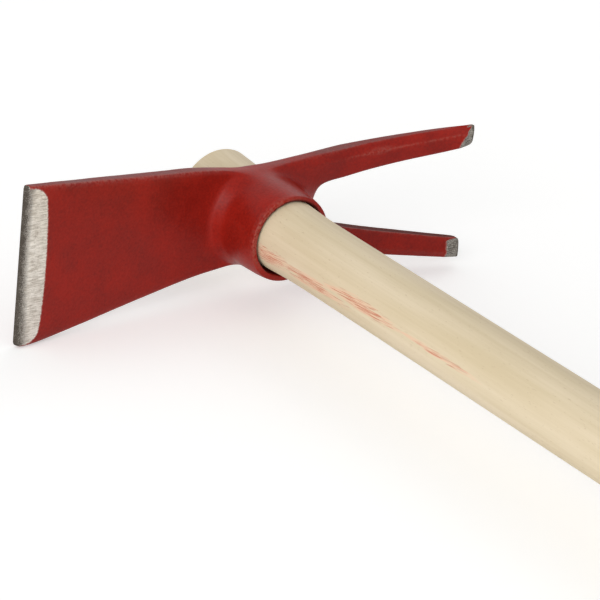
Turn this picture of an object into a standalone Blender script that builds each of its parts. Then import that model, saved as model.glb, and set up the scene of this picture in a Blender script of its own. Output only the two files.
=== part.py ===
"""Fork hoe: a forged head with a blade on one side and two tines on the other, wedged on a tapered handle.

The head is one forging: a bar with a round eye through it, a collar raised around the eye on the grip side,
a flaring blade and a fork of two tines. Its skin is a subdivision surface over a coarse cage of quads. The
eye is bored to the cone of the handle, and the cutting edge and the tips of the tines are ground flat.
The tool lies on the ground on one corner of the blade and one tine. The handle is level along Y with its
grip towards -Y, the blade points towards -X and the tines towards +X.
Lengths are in metres. A place in the head is given as (x, lift, z): x is the reach from the handle's axis,
lift is the height above the eye towards the grip, and z is the height across the blade.
"""

import math

import bmesh
import bpy
from mathutils import Vector

# Handle: a straight shaft that widens in a cone towards its top end, which jams in the eye
HANDLE_LENGTH = 1.200
SHAFT_RADIUS = 0.0160
TOP_RADIUS = 0.0208
CONE_LENGTH = 0.073
CONE_RUN_OUT = 0.00035
TOP_CHAMFER = 0.0020
GRIP_ROUND = 0.012
GRIP_FLAT_RADIUS = 0.007
HANDLE_SIDES = 36

# Bar that the collar, the blade and the tines spring from
BAR_THICKNESS = 0.0078
BAR_SINK = 0.0035
BAR_FILLET = 0.0100
BLADE_FILLET = 0.0035
BOSS_HEIGHT = 0.0011

# Eye, with the clearance of the handle in it and the walls around it
STUB_LENGTH = 0.0245
COLLAR_LIFT = 0.0270
COLLAR_DROP = 0.0006
SEAT_CLEARANCE = 0.0003
MOUTH_CLEARANCE = 0.0009
MOUTH_WALL = 0.0025
MOUTH_FLANK = 0.0050
COLLAR_WALL = 0.0038
BAR_FRONT_WALL = 0.0030
BAR_WALL = 0.0016
BOSS_WALL = 0.0020
CROTCH_WALL = 0.0086
BORE_SIDES = 40

# Blade
BLADE_REACH = 0.1300
BLADE_ROOT_RUN = 0.0042
BLADE_ROOT_BOW = 0.0130
BLADE_EDGE_WIDTH = 0.0763
BLADE_ROOT_FLARE = 0.0037
BLADE_ROOT_THICKNESS = 0.0070
BLADE_EDGE_THICKNESS = 0.0046
BLADE_EDGE_LIFT = 0.0112
BLADE_LIFT_POWER = 1.2
BLADE_CROWN = 0.0005

# Fork: its crotch, and the two tines
FORK_ROOT_RUN = 0.0045
FORK_ROOT_HALF_GAP = 0.0088
TINE_REACH = 0.1125
TINE_ROOT_RUN = 0.0082
TINE_ROOT_HALF_GAP = 0.0099
TINE_TIP_OFFSET = 0.0288
TINE_BOW = 0.0014
TINE_ROOT_WIDTH = 0.0146
TINE_TIP_WIDTH = 0.0100
TINE_WIDTH_POWER = 1.8
TINE_ROOT_THICKNESS = 0.0076
TINE_TIP_THICKNESS = 0.0050
TINE_TIP_LIFT = 0.0143
TINE_LIFT_POWER = 1.4
TINE_RIDGE = 0.0012

# Grinding of the cutting edge and of the tips
EDGE_BEVEL_LENGTH = 0.0115
EDGE_BEVEL_CURVE = 0.0030
EDGE_BEVEL_DEPTH = 0.0010
EDGE_END_SLANT = 0.0014
TIP_BEVEL_LENGTH = 0.0085
TIP_BEVEL_OUTER_LENGTH = 0.0035
TIP_BEVEL_DEPTH = 0.0026

# Skin of the forging: how sharp its edges are, and how much wider a ring of the cage is than the skin
SKIN_LEVELS = 2
SOFT = 0.40
FIRM = 0.50
CRISP = 1.0
RING_GROWTH = 1.048
BORE_COVER = 0.80

# Columns of the cage around the eye, those that each limb springs from, and the rows of each limb
COLUMN_ANGLES = (0, 24, 57, 90, 120, 150, 180, 210, 240, 270, 303, 336)
BLADE_COLUMNS = (3, 4, 5, 6, 7, 8, 9)
UPPER_TINE_COLUMNS = (3, 2, 1)
LOWER_TINE_COLUMNS = (9, 10, 11)
CROTCH_COLUMNS = (11, 0, 1)
BLADE_ACROSS = (1.0, 0.72, 0.38, 0.0, -0.38, -0.72, -1.0)
BLADE_SHARES = (0.40, 0.66)
BLADE_NECK_SHARE = 0.17
TINE_ACROSS = (1.0, 0.25, -1.0)
TINE_SHARES = (0.0, 0.22, 0.46, 0.70)

RED_PAINT = ((0.36, 0.018, 0.014, 1.0), 0.38, 0.0)
BEECH = ((0.72, 0.56, 0.38, 1.0), 0.62, 0.0)


def clear_scene():
    for old in list(bpy.data.objects):
        bpy.data.objects.remove(old)


def material(name, look):
    colour, roughness, metallic = look
    made = bpy.data.materials.new(name)
    made.use_nodes = True
    shader = made.node_tree.nodes["Principled BSDF"]
    shader.inputs["Base Color"].default_value = colour
    shader.inputs["Roughness"].default_value = roughness
    shader.inputs["Metallic"].default_value = metallic
    return made


def add_object(name, shape, parent, look):
    """Turns a bmesh into a smooth-shaded object under the parent."""
    bmesh.ops.recalc_face_normals(shape, faces=shape.faces)
    mesh = bpy.data.meshes.new(name)
    shape.to_mesh(mesh)
    shape.free()
    mesh.shade_smooth()
    mesh.set_sharp_from_angle(angle=math.radians(35))
    mesh.materials.append(look)
    made = bpy.data.objects.new(name, mesh)
    bpy.context.scene.collection.objects.link(made)
    made.parent = parent
    return made


def place(x, lift, z):
    """A point of the head as a vector in the tool's frame."""
    return Vector((x, -lift, z))


def between(start, end, share):
    return start + (end - start) * share


BAR_FRONT = -BAR_SINK + BAR_THICKNESS / 2
BAR_BACK = -BAR_SINK - BAR_THICKNESS / 2
EYE_BACK = BAR_BACK - BOSS_HEIGHT
TOP_END_LIFT = EYE_BACK - STUB_LENGTH


def handle_radius(lift):
    """A straight cone that runs out smoothly into the straight shaft."""
    over_shaft = (TOP_RADIUS - SHAFT_RADIUS) * (1 - (lift - TOP_END_LIFT) / CONE_LENGTH)
    return SHAFT_RADIUS + (over_shaft + math.hypot(over_shaft, 2 * CONE_RUN_OUT)) / 2


def mouth_share(lift):
    """How far a height is from the back of the eye, 0, to its mouth, 1."""
    return (lift - EYE_BACK) / (COLLAR_LIFT - EYE_BACK)


def eye_radius(lift):
    """The eye: the handle's cone plus a clearance that grows towards the mouth."""
    return handle_radius(lift) + between(SEAT_CLEARANCE, MOUTH_CLEARANCE, mouth_share(lift) ** 2)


BAR_RADIUS = eye_radius(-BAR_SINK) + BAR_WALL
CROTCH_REACH = eye_radius(-BAR_SINK) + CROTCH_WALL
BLADE_ROOT_REACH = BAR_RADIUS + BLADE_ROOT_RUN
BLADE_ROOT_WIDTH = 2 * (BAR_RADIUS + BLADE_ROOT_FLARE)
FORK_ROOT_REACH = CROTCH_REACH + FORK_ROOT_RUN
TINE_ROOT_REACH = CROTCH_REACH + TINE_ROOT_RUN
TINE_ROOT_OFFSET = TINE_ROOT_HALF_GAP + TINE_ROOT_WIDTH / 2


def turned(rings, sides):
    """A closed round solid along the handle's axis from (lift, radius, drop) rings, with flat ends."""
    shape = bmesh.new()
    rows = []
    for lift, radius, drop in rings:
        turns = (2 * math.pi * i / sides for i in range(sides))
        rows.append([
            shape.verts.new(place(radius * math.cos(turn), lift, radius * math.sin(turn) - drop))
            for turn in turns
        ])
    for row, after in zip(rows, rows[1:]):
        for i in range(sides):
            shape.faces.new((row[i - 1], row[i], after[i], after[i - 1]))
    shape.faces.new(rows[0])
    shape.faces.new(rows[-1])
    return shape


def handle_rings():
    """Chamfered top end, cone, straight shaft and rounded grip end."""
    cone_steps = 12
    cone_run = 1.6 * CONE_LENGTH
    dome_steps = 5
    rings = [(TOP_END_LIFT, TOP_RADIUS - TOP_CHAMFER, 0.0)]
    for step in range(cone_steps + 1):
        lift = TOP_END_LIFT + between(TOP_CHAMFER, cone_run, step / cone_steps)
        rings.append((lift, handle_radius(lift), 0.0))
    grip_end = TOP_END_LIFT + HANDLE_LENGTH
    for step in range(dome_steps + 1):
        turn = math.pi / 2 * step / dome_steps
        lift = grip_end - GRIP_ROUND * (1 - math.sin(turn))
        rings.append((lift, between(GRIP_FLAT_RADIUS, SHAFT_RADIUS, math.cos(turn)), 0.0))
    return rings


def bore_rings():
    """The eye's tool, which runs past both ends of the eye; its mouth sits a little low on the handle."""
    steps = 5
    run_past = 0.006
    rings = [(EYE_BACK - run_past, eye_radius(EYE_BACK), 0.0)]
    for step in range(steps + 1):
        lift = between(EYE_BACK, COLLAR_LIFT, step / steps)
        rings.append((lift, eye_radius(lift), COLLAR_DROP * mouth_share(lift) ** 2))
    rings.append((COLLAR_LIFT + run_past, eye_radius(COLLAR_LIFT), COLLAR_DROP))
    return rings


class HeadCage:
    """The coarse quads that the skin of the forging is subdivided from."""

    def __init__(self):
        self.shape = bmesh.new()
        self.crease = self.shape.edges.layers.float.new("crease_edge")

    def vertex(self, x, lift, z):
        return self.shape.verts.new(place(x, lift, z))

    def ring(self, radius, lift):
        """A ring around the eye, widened to make up for what the subdivision rounds away."""
        wide = radius * RING_GROWTH
        turns = (math.radians(angle) for angle in COLUMN_ANGLES)
        return [self.vertex(wide * math.cos(t), lift, wide * math.sin(t) - COLLAR_DROP) for t in turns]

    def bar_ring(self, radius, lift, blade_fillet=0.0):
        """A ring of the bar: round on the blade's side and drawn out to the crotch of the fork."""
        made = self.ring(radius, lift)
        for column, angle in enumerate(COLUMN_ANGLES):
            toward_blade = max(-math.cos(math.radians(angle)), 0.0)
            made[column].co.x -= blade_fillet * toward_blade
        made[0].co = place(CROTCH_REACH, lift, 0.0)
        made[1].co = place(FORK_ROOT_REACH, lift, FORK_ROOT_HALF_GAP)
        made[-1].co = place(FORK_ROOT_REACH, lift, -FORK_ROOT_HALF_GAP)
        return made

    def strip(self, row, after):
        for i in range(len(row) - 1):
            self.shape.faces.new((row[i], row[i + 1], after[i + 1], after[i]))

    def sharpen(self, line, amount):
        for a, b in zip(line, line[1:]):
            self.shape.edges.get((a, b))[self.crease] = amount

    def collar(self):
        """Rings from the mouth to the back of the eye; returns the front, middle and back of the bar."""
        collar_foot = BAR_FRONT + BAR_FILLET
        mouth_radius = eye_radius(COLLAR_LIFT) + MOUTH_WALL
        collar_radius = eye_radius(collar_foot) + COLLAR_WALL
        flank_radius = between(mouth_radius, collar_radius, 0.7)
        boss_radius = eye_radius(EYE_BACK) + BOSS_WALL
        front = [
            self.ring(mouth_radius * BORE_COVER, COLLAR_LIFT),
            self.ring(mouth_radius, COLLAR_LIFT),
            self.ring(flank_radius, COLLAR_LIFT - MOUTH_FLANK),
            self.ring(collar_radius, collar_foot),
            self.bar_ring(eye_radius(BAR_FRONT) + BAR_FRONT_WALL, BAR_FRONT, blade_fillet=BLADE_FILLET),
        ]
        middle = self.bar_ring(BAR_RADIUS, -BAR_SINK)
        back = [
            self.bar_ring(BAR_RADIUS, BAR_BACK),
            self.ring(boss_radius, EYE_BACK),
            self.ring(boss_radius * BORE_COVER, EYE_BACK),
        ]
        for rings in (front, back):
            for ring, after in zip(rings, rings[1:]):
                self.strip(ring + ring[:1], after + after[:1])
        self.shape.faces.new(front[0])
        self.shape.faces.new(back[-1])
        for rim in (front[1], back[1]):
            self.sharpen(rim + rim[:1], SOFT)
        bar = (front[-1], middle, back[0])
        for ring, after in zip(bar, bar[1:]):
            self.strip([ring[i] for i in CROTCH_COLUMNS], [after[i] for i in CROTCH_COLUMNS])
        return bar

    def limb(self, root, stations):
        """Skins a blade or a tine from its root to its last station, and closes its end."""
        fronts, middles, backs = zip(root, *stations)
        for rows in (fronts, backs):
            for row, after in zip(rows, rows[1:]):
                self.strip(row, after)
        for side in (0, -1):
            front_edge = [row[side] for row in fronts]
            middle_line = [row[side] for row in middles]
            back_edge = [row[side] for row in backs]
            self.strip(front_edge, middle_line)
            self.strip(middle_line, back_edge)
            self.sharpen(front_edge[1:], SOFT)
            self.sharpen(back_edge[1:], SOFT)
        front, middle, back = stations[-1]
        self.strip(front, middle)
        self.strip(middle, back)
        self.sharpen(fronts[-2], CRISP)
        self.sharpen(front, CRISP)
        self.sharpen(back, CRISP)
        for side in (0, -1):
            self.sharpen((front[side], middle[side], back[side]), FIRM)

    def station(self, fronts, backs, end=False):
        """Points of one cross-section: its front row, its back row and the middles between them."""
        front = [self.vertex(*point) for point in fronts]
        back = [self.vertex(*point) for point in backs]
        pairs = list(zip(fronts, backs))
        kept = pairs if end else (pairs[0], pairs[-1])
        middle = [self.vertex(*(between(a, b, 0.5) for a, b in zip(*pair))) for pair in kept]
        return front, middle, back

    def blade_station(self, share, bow=0.0, grind=0.0, slant=0.0, end=False):
        """A cross-section of the blade; share runs from its root to its cutting edge."""
        half_width = between(BLADE_ROOT_WIDTH, BLADE_EDGE_WIDTH, share) / 2
        thickness = between(BLADE_ROOT_THICKNESS, BLADE_EDGE_THICKNESS, share)
        lift = between(-BAR_SINK, BLADE_EDGE_LIFT, share ** BLADE_LIFT_POWER)
        x = -between(BLADE_ROOT_REACH, BLADE_REACH, share)
        fronts = []
        backs = []
        for across in BLADE_ACROSS:
            crown = BLADE_CROWN * (1 - across ** 2)
            reach = x - bow * math.sqrt(1 - across ** 2)
            fronts.append((reach + slant, lift + thickness / 2 + crown - grind, half_width * across))
            backs.append((reach, lift - thickness / 2, half_width * across))
        return self.station(fronts, backs, end)

    def blade(self, bar):
        root = [[ring[i] for i in BLADE_COLUMNS] for ring in bar]
        root[1] = (root[1][0], root[1][-1])
        grind_start = 1 - (EDGE_BEVEL_LENGTH - EDGE_BEVEL_CURVE) / (BLADE_REACH - BLADE_ROOT_REACH)
        stations = [
            self.blade_station(0.0, bow=BLADE_ROOT_BOW),
            self.blade_station(BLADE_NECK_SHARE, bow=BLADE_ROOT_BOW / 2),
        ]
        stations.extend(self.blade_station(share) for share in BLADE_SHARES)
        stations.append(self.blade_station(grind_start, bow=-EDGE_BEVEL_CURVE))
        stations.append(
            self.blade_station(1.0, grind=EDGE_BEVEL_DEPTH, slant=EDGE_END_SLANT, end=True)
        )
        self.limb(root, stations)

    def tine_station(self, share, side, outer_shift=0.0, grind=0.0, end=False):
        """A cross-section of a tine; share runs from its root to its tip, and side is 1 or -1."""
        x = between(TINE_ROOT_REACH, TINE_REACH, share)
        offset = between(TINE_ROOT_OFFSET, TINE_TIP_OFFSET, share) + TINE_BOW * share * (1 - share)
        width = between(TINE_TIP_WIDTH, TINE_ROOT_WIDTH, (1 - share) ** TINE_WIDTH_POWER)
        thickness = between(TINE_ROOT_THICKNESS, TINE_TIP_THICKNESS, share)
        lift = between(-BAR_SINK, TINE_TIP_LIFT, share ** TINE_LIFT_POWER)
        fronts = []
        backs = []
        rises = (0.0, 0.0 if end else TINE_RIDGE, 0.0)
        shifts = (outer_shift, 0.0, 0.0)
        for across, rise, shift in zip(TINE_ACROSS, rises, shifts):
            z = side * (offset + width / 2 * across)
            fronts.append((x + shift, lift + thickness / 2 + rise - grind, z))
            backs.append((x, lift - thickness / 2, z))
        return self.station(fronts, backs, end)

    def tine(self, bar, columns, side):
        root = [[ring[i] for i in columns] for ring in bar]
        root[1] = (root[1][0], root[1][-1])
        grind_start = 1 - TIP_BEVEL_LENGTH / (TINE_REACH - TINE_ROOT_REACH)
        outer_shift = TIP_BEVEL_LENGTH - TIP_BEVEL_OUTER_LENGTH
        stations = [self.tine_station(share, side) for share in TINE_SHARES]
        stations.append(self.tine_station(grind_start, side, outer_shift=outer_shift))
        stations.append(self.tine_station(1.0, side, grind=TIP_BEVEL_DEPTH, end=True))
        self.limb(root, stations)
        ridge = [front[1] for front, _, _ in stations[:-1]]
        self.sharpen(ridge, SOFT)


def head_skin():
    cage = HeadCage()
    bar = cage.collar()
    cage.blade(bar)
    cage.tine(bar, UPPER_TINE_COLUMNS, 1)
    cage.tine(bar, LOWER_TINE_COLUMNS, -1)
    return cage.shape


def make_head(frame, paint):
    head = add_object("forged_head", head_skin(), frame, paint)
    skin = head.modifiers.new("forged_skin", "SUBSURF")
    skin.levels = SKIN_LEVELS
    skin.render_levels = SKIN_LEVELS
    bore = add_object("eye_bore", turned(bore_rings(), BORE_SIDES), frame, paint)
    bore.hide_render = True
    bore.display_type = "WIRE"
    eye = head.modifiers.new("eye", "BOOLEAN")
    eye.object = bore
    eye.solver = "EXACT"
    return head


def lowest_point(head):
    """Height of the head's lowest point in the tool's frame."""
    depsgraph = bpy.context.evaluated_depsgraph_get()
    mesh = head.evaluated_get(depsgraph).to_mesh()
    return min(vertex.co.z for vertex in mesh.vertices)


def main():
    clear_scene()
    paint = material("red_paint", RED_PAINT)
    beech = material("beech", BEECH)
    frame = bpy.data.objects.new("tool_frame", None)
    bpy.context.scene.collection.objects.link(frame)
    add_object("handle", turned(handle_rings(), HANDLE_SIDES), frame, beech)
    head = make_head(frame, paint)
    centre_x = (BLADE_REACH - TINE_REACH) / 2
    centre_y = HANDLE_LENGTH / 2 + TOP_END_LIFT
    frame.location = (centre_x, centre_y, -lowest_point(head))


main()
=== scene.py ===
"""Looks of the fork hoe: a painted forging with ground edges, on a turned beech handle, in a pale studio.

A place in the head is given by its reach, lift and height from the middle of the eye. Reach runs along +X
towards the tines, lift along -Y towards the grip, and height along +Z across the blade. Lengths are in
metres, and sizes whose name ends in _mm are in millimetres.
"""

import logging
import math
from dataclasses import dataclass
from enum import Enum
from typing import Any, Iterable, NamedTuple, Sequence

import bmesh
import bpy
import numpy as np
from mathutils import Matrix, Vector


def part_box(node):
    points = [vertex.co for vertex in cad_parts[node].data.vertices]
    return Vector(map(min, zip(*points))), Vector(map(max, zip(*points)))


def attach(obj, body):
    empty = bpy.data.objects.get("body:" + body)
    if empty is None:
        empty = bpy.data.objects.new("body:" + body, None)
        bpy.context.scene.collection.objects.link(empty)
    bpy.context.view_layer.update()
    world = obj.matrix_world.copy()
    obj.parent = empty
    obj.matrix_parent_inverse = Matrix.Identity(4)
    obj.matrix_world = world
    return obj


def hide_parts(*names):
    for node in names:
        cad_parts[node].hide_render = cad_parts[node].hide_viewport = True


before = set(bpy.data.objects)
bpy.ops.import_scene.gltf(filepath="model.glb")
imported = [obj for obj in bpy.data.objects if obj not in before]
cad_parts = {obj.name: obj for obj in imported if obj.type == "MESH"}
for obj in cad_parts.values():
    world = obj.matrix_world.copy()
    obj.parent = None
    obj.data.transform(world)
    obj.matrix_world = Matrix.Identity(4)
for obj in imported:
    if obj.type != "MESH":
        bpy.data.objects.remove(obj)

LOG = logging.getLogger("fork_hoe")
MM = 0.001
BODY = "root"

# How far the back of the eye lies behind its middle, and the point that the photograph is centred on.
EYE_BACK_DEPTH = 0.0085
AIM_FROM_EYE = Vector((0.0103, -0.0267, -0.0329))

# How far a normal leans to the front on a front face, and along the reach on the end of a limb.
FRONT_FACING = 0.5
END_FACING = 0.6

# The first and the last vertex of a row, which lie on the two sides of a limb.
SIDES = (0, -1)

# Distances inside the ground steel that stand for a face that is bare, or painted, all over.
ALL_BARE_MM = 2.0
ALL_PAINTED_MM = -5.0

# Width of a band of the wave texture that draws the year rings, at a scale of 1.
WAVE_BAND = math.tau / 20

Colour = tuple[float, float, float, float]
Place = tuple[float, float, float]
Row = list[bmesh.types.BMVert]


def linear(srgb_hex: str) -> Colour:
    """Turns an sRGB colour into the linear one that a shader takes.

    Args:
        srgb_hex: The colour as "#RRGGBB".

    Returns:
        Red, green, blue and an alpha of 1.
    """
    parts = (int(srgb_hex[i:i + 2], 16) / 255 for i in (1, 3, 5))
    red, green, blue = (c / 12.92 if c <= 0.04045 else ((c + 0.055) / 1.055) ** 2.4 for c in parts)
    return (red, green, blue, 1.0)


def per_mm(size: float) -> float:
    """The scale of a texture on Object coordinates whose features are this many millimetres wide."""
    return 1 / (size * MM)


def between(start: float, end: float, share: np.ndarray | float) -> np.ndarray | float:
    """The value that lies a share of the way from start to end."""
    return start + (end - start) * share


def place(reach: float, lift: float, height: float) -> Vector:
    """A point of the tool as a vector from the middle of the eye."""
    return Vector((reach, -lift, height))


def add_node(
    tree: bpy.types.NodeTree,
    kind: str,
    inputs: dict[int | str, Any] | None = None,
    out: int | str = 0,
    **settings: Any,
) -> bpy.types.NodeSocket | None:
    """Adds a node with its settings, its values and its links.

    Args:
        tree: The shader or geometry tree that the node goes into.
        kind: The node's type, such as "ShaderNodeMath".
        inputs: A value, or the output socket of another node, for each input by number, name or identifier.
        out: The output wanted, by number, name or identifier.
        **settings: The node's own properties.

    Returns:
        The output socket, or None for a node that has none.
    """
    node = tree.nodes.new(kind)
    for name, value in settings.items():
        setattr(node, name, value)
    for key, value in (inputs or {}).items():
        socket = find_socket(node.inputs, key)
        if isinstance(value, bpy.types.NodeSocket):
            tree.links.new(value, socket)
        else:
            socket.default_value = value
    return find_socket(node.outputs, out) if len(node.outputs) else None


def find_socket(sockets: Sequence[bpy.types.NodeSocket], key: int | str) -> bpy.types.NodeSocket:
    """Finds a socket of a node.

    Args:
        sockets: The node's inputs or outputs.
        key: The socket's number, its identifier or its name.

    Returns:
        The socket.
    """
    if isinstance(key, int):
        return sockets[key]
    matches = [s for s in sockets if s.identifier == key] or [s for s in sockets if s.name == key]
    return matches[0]


def new_material(name: str) -> tuple[bpy.types.Material, bpy.types.NodeTree]:
    """Makes an empty node material.

    Args:
        name: The material's name.

    Returns:
        The material and its tree.
    """
    material = bpy.data.materials.new(name)
    material.use_nodes = True
    material.node_tree.nodes.clear()
    return material, material.node_tree


class Ramp(NamedTuple):
    """A straight ramp that stays level past its ends: where it starts and ends, and its value there."""

    start: float
    end: float
    low: float = 0.0
    high: float = 1.0

    def on(self, value: bpy.types.NodeSocket) -> dict[str, Any]:
        """Puts the ramp on a value.

        Args:
            value: What it follows.

        Returns:
            The inputs of a Map Range node.
        """
        return {
            "Value": value, "From Min": self.start, "From Max": self.end, "To Min": self.low,
            "To Max": self.high,
        }


class Mottle(NamedTuple):
    """An even, random pattern: how wide its features are, and how many finer octaves it has."""

    size_mm: float
    detail: float

    def on(self, coordinates: bpy.types.NodeSocket) -> dict[str, Any]:
        """The inputs of a Noise Texture node that draws it on coordinates in metres."""
        return {"Vector": coordinates, "Scale": per_mm(self.size_mm), "Detail": self.detail}


class Grain(NamedTuple):
    """A random pattern drawn out along the handle: how wide and long its features are, and its octaves."""

    wide_mm: float
    long_mm: float
    detail: float


class Layer(NamedTuple):
    """What one coat of a surface gives the shader."""

    colour: bpy.types.NodeSocket
    roughness: bpy.types.NodeSocket
    height: bpy.types.NodeSocket
    gloss: bpy.types.NodeSocket | float = 0.5


def tinted(
    tree: bpy.types.NodeTree,
    colour: bpy.types.NodeSocket | Colour,
    *tints: tuple[bpy.types.NodeSocket, str],
) -> bpy.types.NodeSocket:
    """Lays tints over a colour, one after the other.

    Args:
        tree: The material's tree.
        colour: The colour below them.
        *tints: How much each tint covers of what is below it, and the tint as "#RRGGBB".

    Returns:
        The colour on top.
    """
    for cover, tint in tints:
        colour = add_node(tree, "ShaderNodeMix", {
            "Factor_Float": cover, "A_Color": colour, "B_Color": linear(tint),
        }, out="Result_Color", data_type="RGBA")
    return colour


def blended(
    tree: bpy.types.NodeTree,
    share: bpy.types.NodeSocket,
    pairs: Iterable[tuple[bpy.types.NodeSocket | float, bpy.types.NodeSocket | float]],
) -> list[bpy.types.NodeSocket]:
    """Fades several values at once from one coat's to another's.

    Args:
        tree: The material's tree.
        share: How much of the second coat shows.
        pairs: The two coats' values.

    Returns:
        One faded value for each pair.
    """
    return [
        add_node(tree, "ShaderNodeMix", {
            "Factor_Float": share, "A_Float": first, "B_Float": second,
        }, out="Result_Float")
        for first, second in pairs
    ]


def add_surface(tree: bpy.types.NodeTree, values: dict[str, Any], height: bpy.types.NodeSocket) -> None:
    """Ends a material with its surface.

    Args:
        tree: The material's tree.
        values: The surface's inputs, by name.
        height: A height in metres, which bumps it.
    """
    normal = add_node(tree, "ShaderNodeBump", {"Strength": 1.0, "Distance": 1.0, "Height": height})
    surface = add_node(tree, "ShaderNodeBsdfPrincipled", {**values, "Normal": normal})
    add_node(tree, "ShaderNodeOutputMaterial", {"Surface": surface})


@dataclass(frozen=True)
class RedEnamel:
    """Red enamel sprayed thinly on a forging and not sanded down, so the forging's scale shows through it.

    It gives a satin, saturated red with a fine grain. Its sides, the gap of the fork and the inside of the
    eye are painted browner as painted shade, and its edges paler, partly as real wear and partly as a
    painted highlight.
    """

    deep: str = "#81170F"
    fresh: str = "#9C1F14"
    # Browner red of the sides, the gap of the fork and the inside of the eye: painted shade.
    painted_side_shade: str = "#4C160F"
    # Paler red of edges, the tines' ridges and the rim of the eye: real wear and a painted highlight.
    wear_and_highlight: str = "#B06A5E"
    cloud: Mottle = Mottle(16.0, detail=4.0)
    speckle: Mottle = Mottle(1.1, detail=2.0)
    fresh_ramp: Ramp = Ramp(0.74, 1.26)
    # Patches that break up the wear and painted highlight of the edges.
    rub_and_highlight: Mottle = Mottle(1.2, detail=3.0)
    rub_and_highlight_ramp: Ramp = Ramp(0.38, 0.62, low=0.05, high=0.90)
    # Where shade is painted on the sides, the paint is also rougher and less glossy.
    shaded_side_ramp: Ramp = Ramp(0.5, 1.0)
    satin_roughness: Ramp = Ramp(0.3, 0.7, low=0.32, high=0.46)
    shaded_side_roughness: float = 0.70
    gloss: float = 0.16
    shaded_side_gloss: float = 0.06
    peel: Mottle = Mottle(0.9, detail=1.0)
    peel_depth_mm: float = 0.050
    scale: Mottle = Mottle(2.4, detail=3.0)
    scale_depth_mm: float = 0.085

    def layer(self, tree: bpy.types.NodeTree, coordinates: bpy.types.NodeSocket) -> Layer:
        """Builds the coat; it reads the head's attributes side, which holds painted shade, and edge, which
        holds wear and a painted highlight.

        Args:
            tree: The material's tree.
            coordinates: Object coordinates.

        Returns:
            Its colour, roughness, height in metres and gloss.
        """
        cloud = add_node(tree, "ShaderNodeTexNoise", self.cloud.on(coordinates))
        speckle = add_node(tree, "ShaderNodeTexNoise", self.speckle.on(coordinates))
        tone = add_node(tree, "ShaderNodeMath", {0: cloud, 1: speckle}, operation="ADD")
        fresh = add_node(tree, "ShaderNodeMapRange", self.fresh_ramp.on(tone))
        # The attribute side holds where shade is painted on; edge holds where wear and a painted highlight
        # go.
        side = add_node(tree, "ShaderNodeAttribute", out="Fac", attribute_name="side")
        edge = add_node(tree, "ShaderNodeAttribute", out="Fac", attribute_name="edge")
        rub_and_highlight = add_node(tree, "ShaderNodeTexNoise", self.rub_and_highlight.on(coordinates))
        patches = add_node(tree, "ShaderNodeMapRange", self.rub_and_highlight_ramp.on(rub_and_highlight))
        # How much paler the edges are painted: real wear and a painted highlight, in patches.
        thin = add_node(tree, "ShaderNodeMath", {0: edge, 1: patches}, operation="MULTIPLY")
        colour = tinted(
            tree, linear(self.deep), (fresh, self.fresh), (side, self.painted_side_shade), (thin, self.wear_and_highlight),
        )
        satin = add_node(tree, "ShaderNodeMapRange", self.satin_roughness.on(cloud))
        shaded_side = add_node(tree, "ShaderNodeMapRange", self.shaded_side_ramp.on(side))
        roughness, gloss = blended(tree, shaded_side, (
            (satin, self.shaded_side_roughness), (self.gloss, self.shaded_side_gloss),
        ))
        peel = add_node(tree, "ShaderNodeTexNoise", self.peel.on(coordinates))
        peel_height = add_node(tree, "ShaderNodeMath", {
            0: peel, 1: self.peel_depth_mm * MM,
        }, operation="MULTIPLY")
        scale = add_node(tree, "ShaderNodeTexNoise", self.scale.on(coordinates))
        height = add_node(tree, "ShaderNodeMath", {
            0: scale, 1: self.scale_depth_mm * MM, 2: peel_height,
        }, operation="MULTIPLY_ADD")
        return Layer(colour, roughness, height, gloss)


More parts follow.
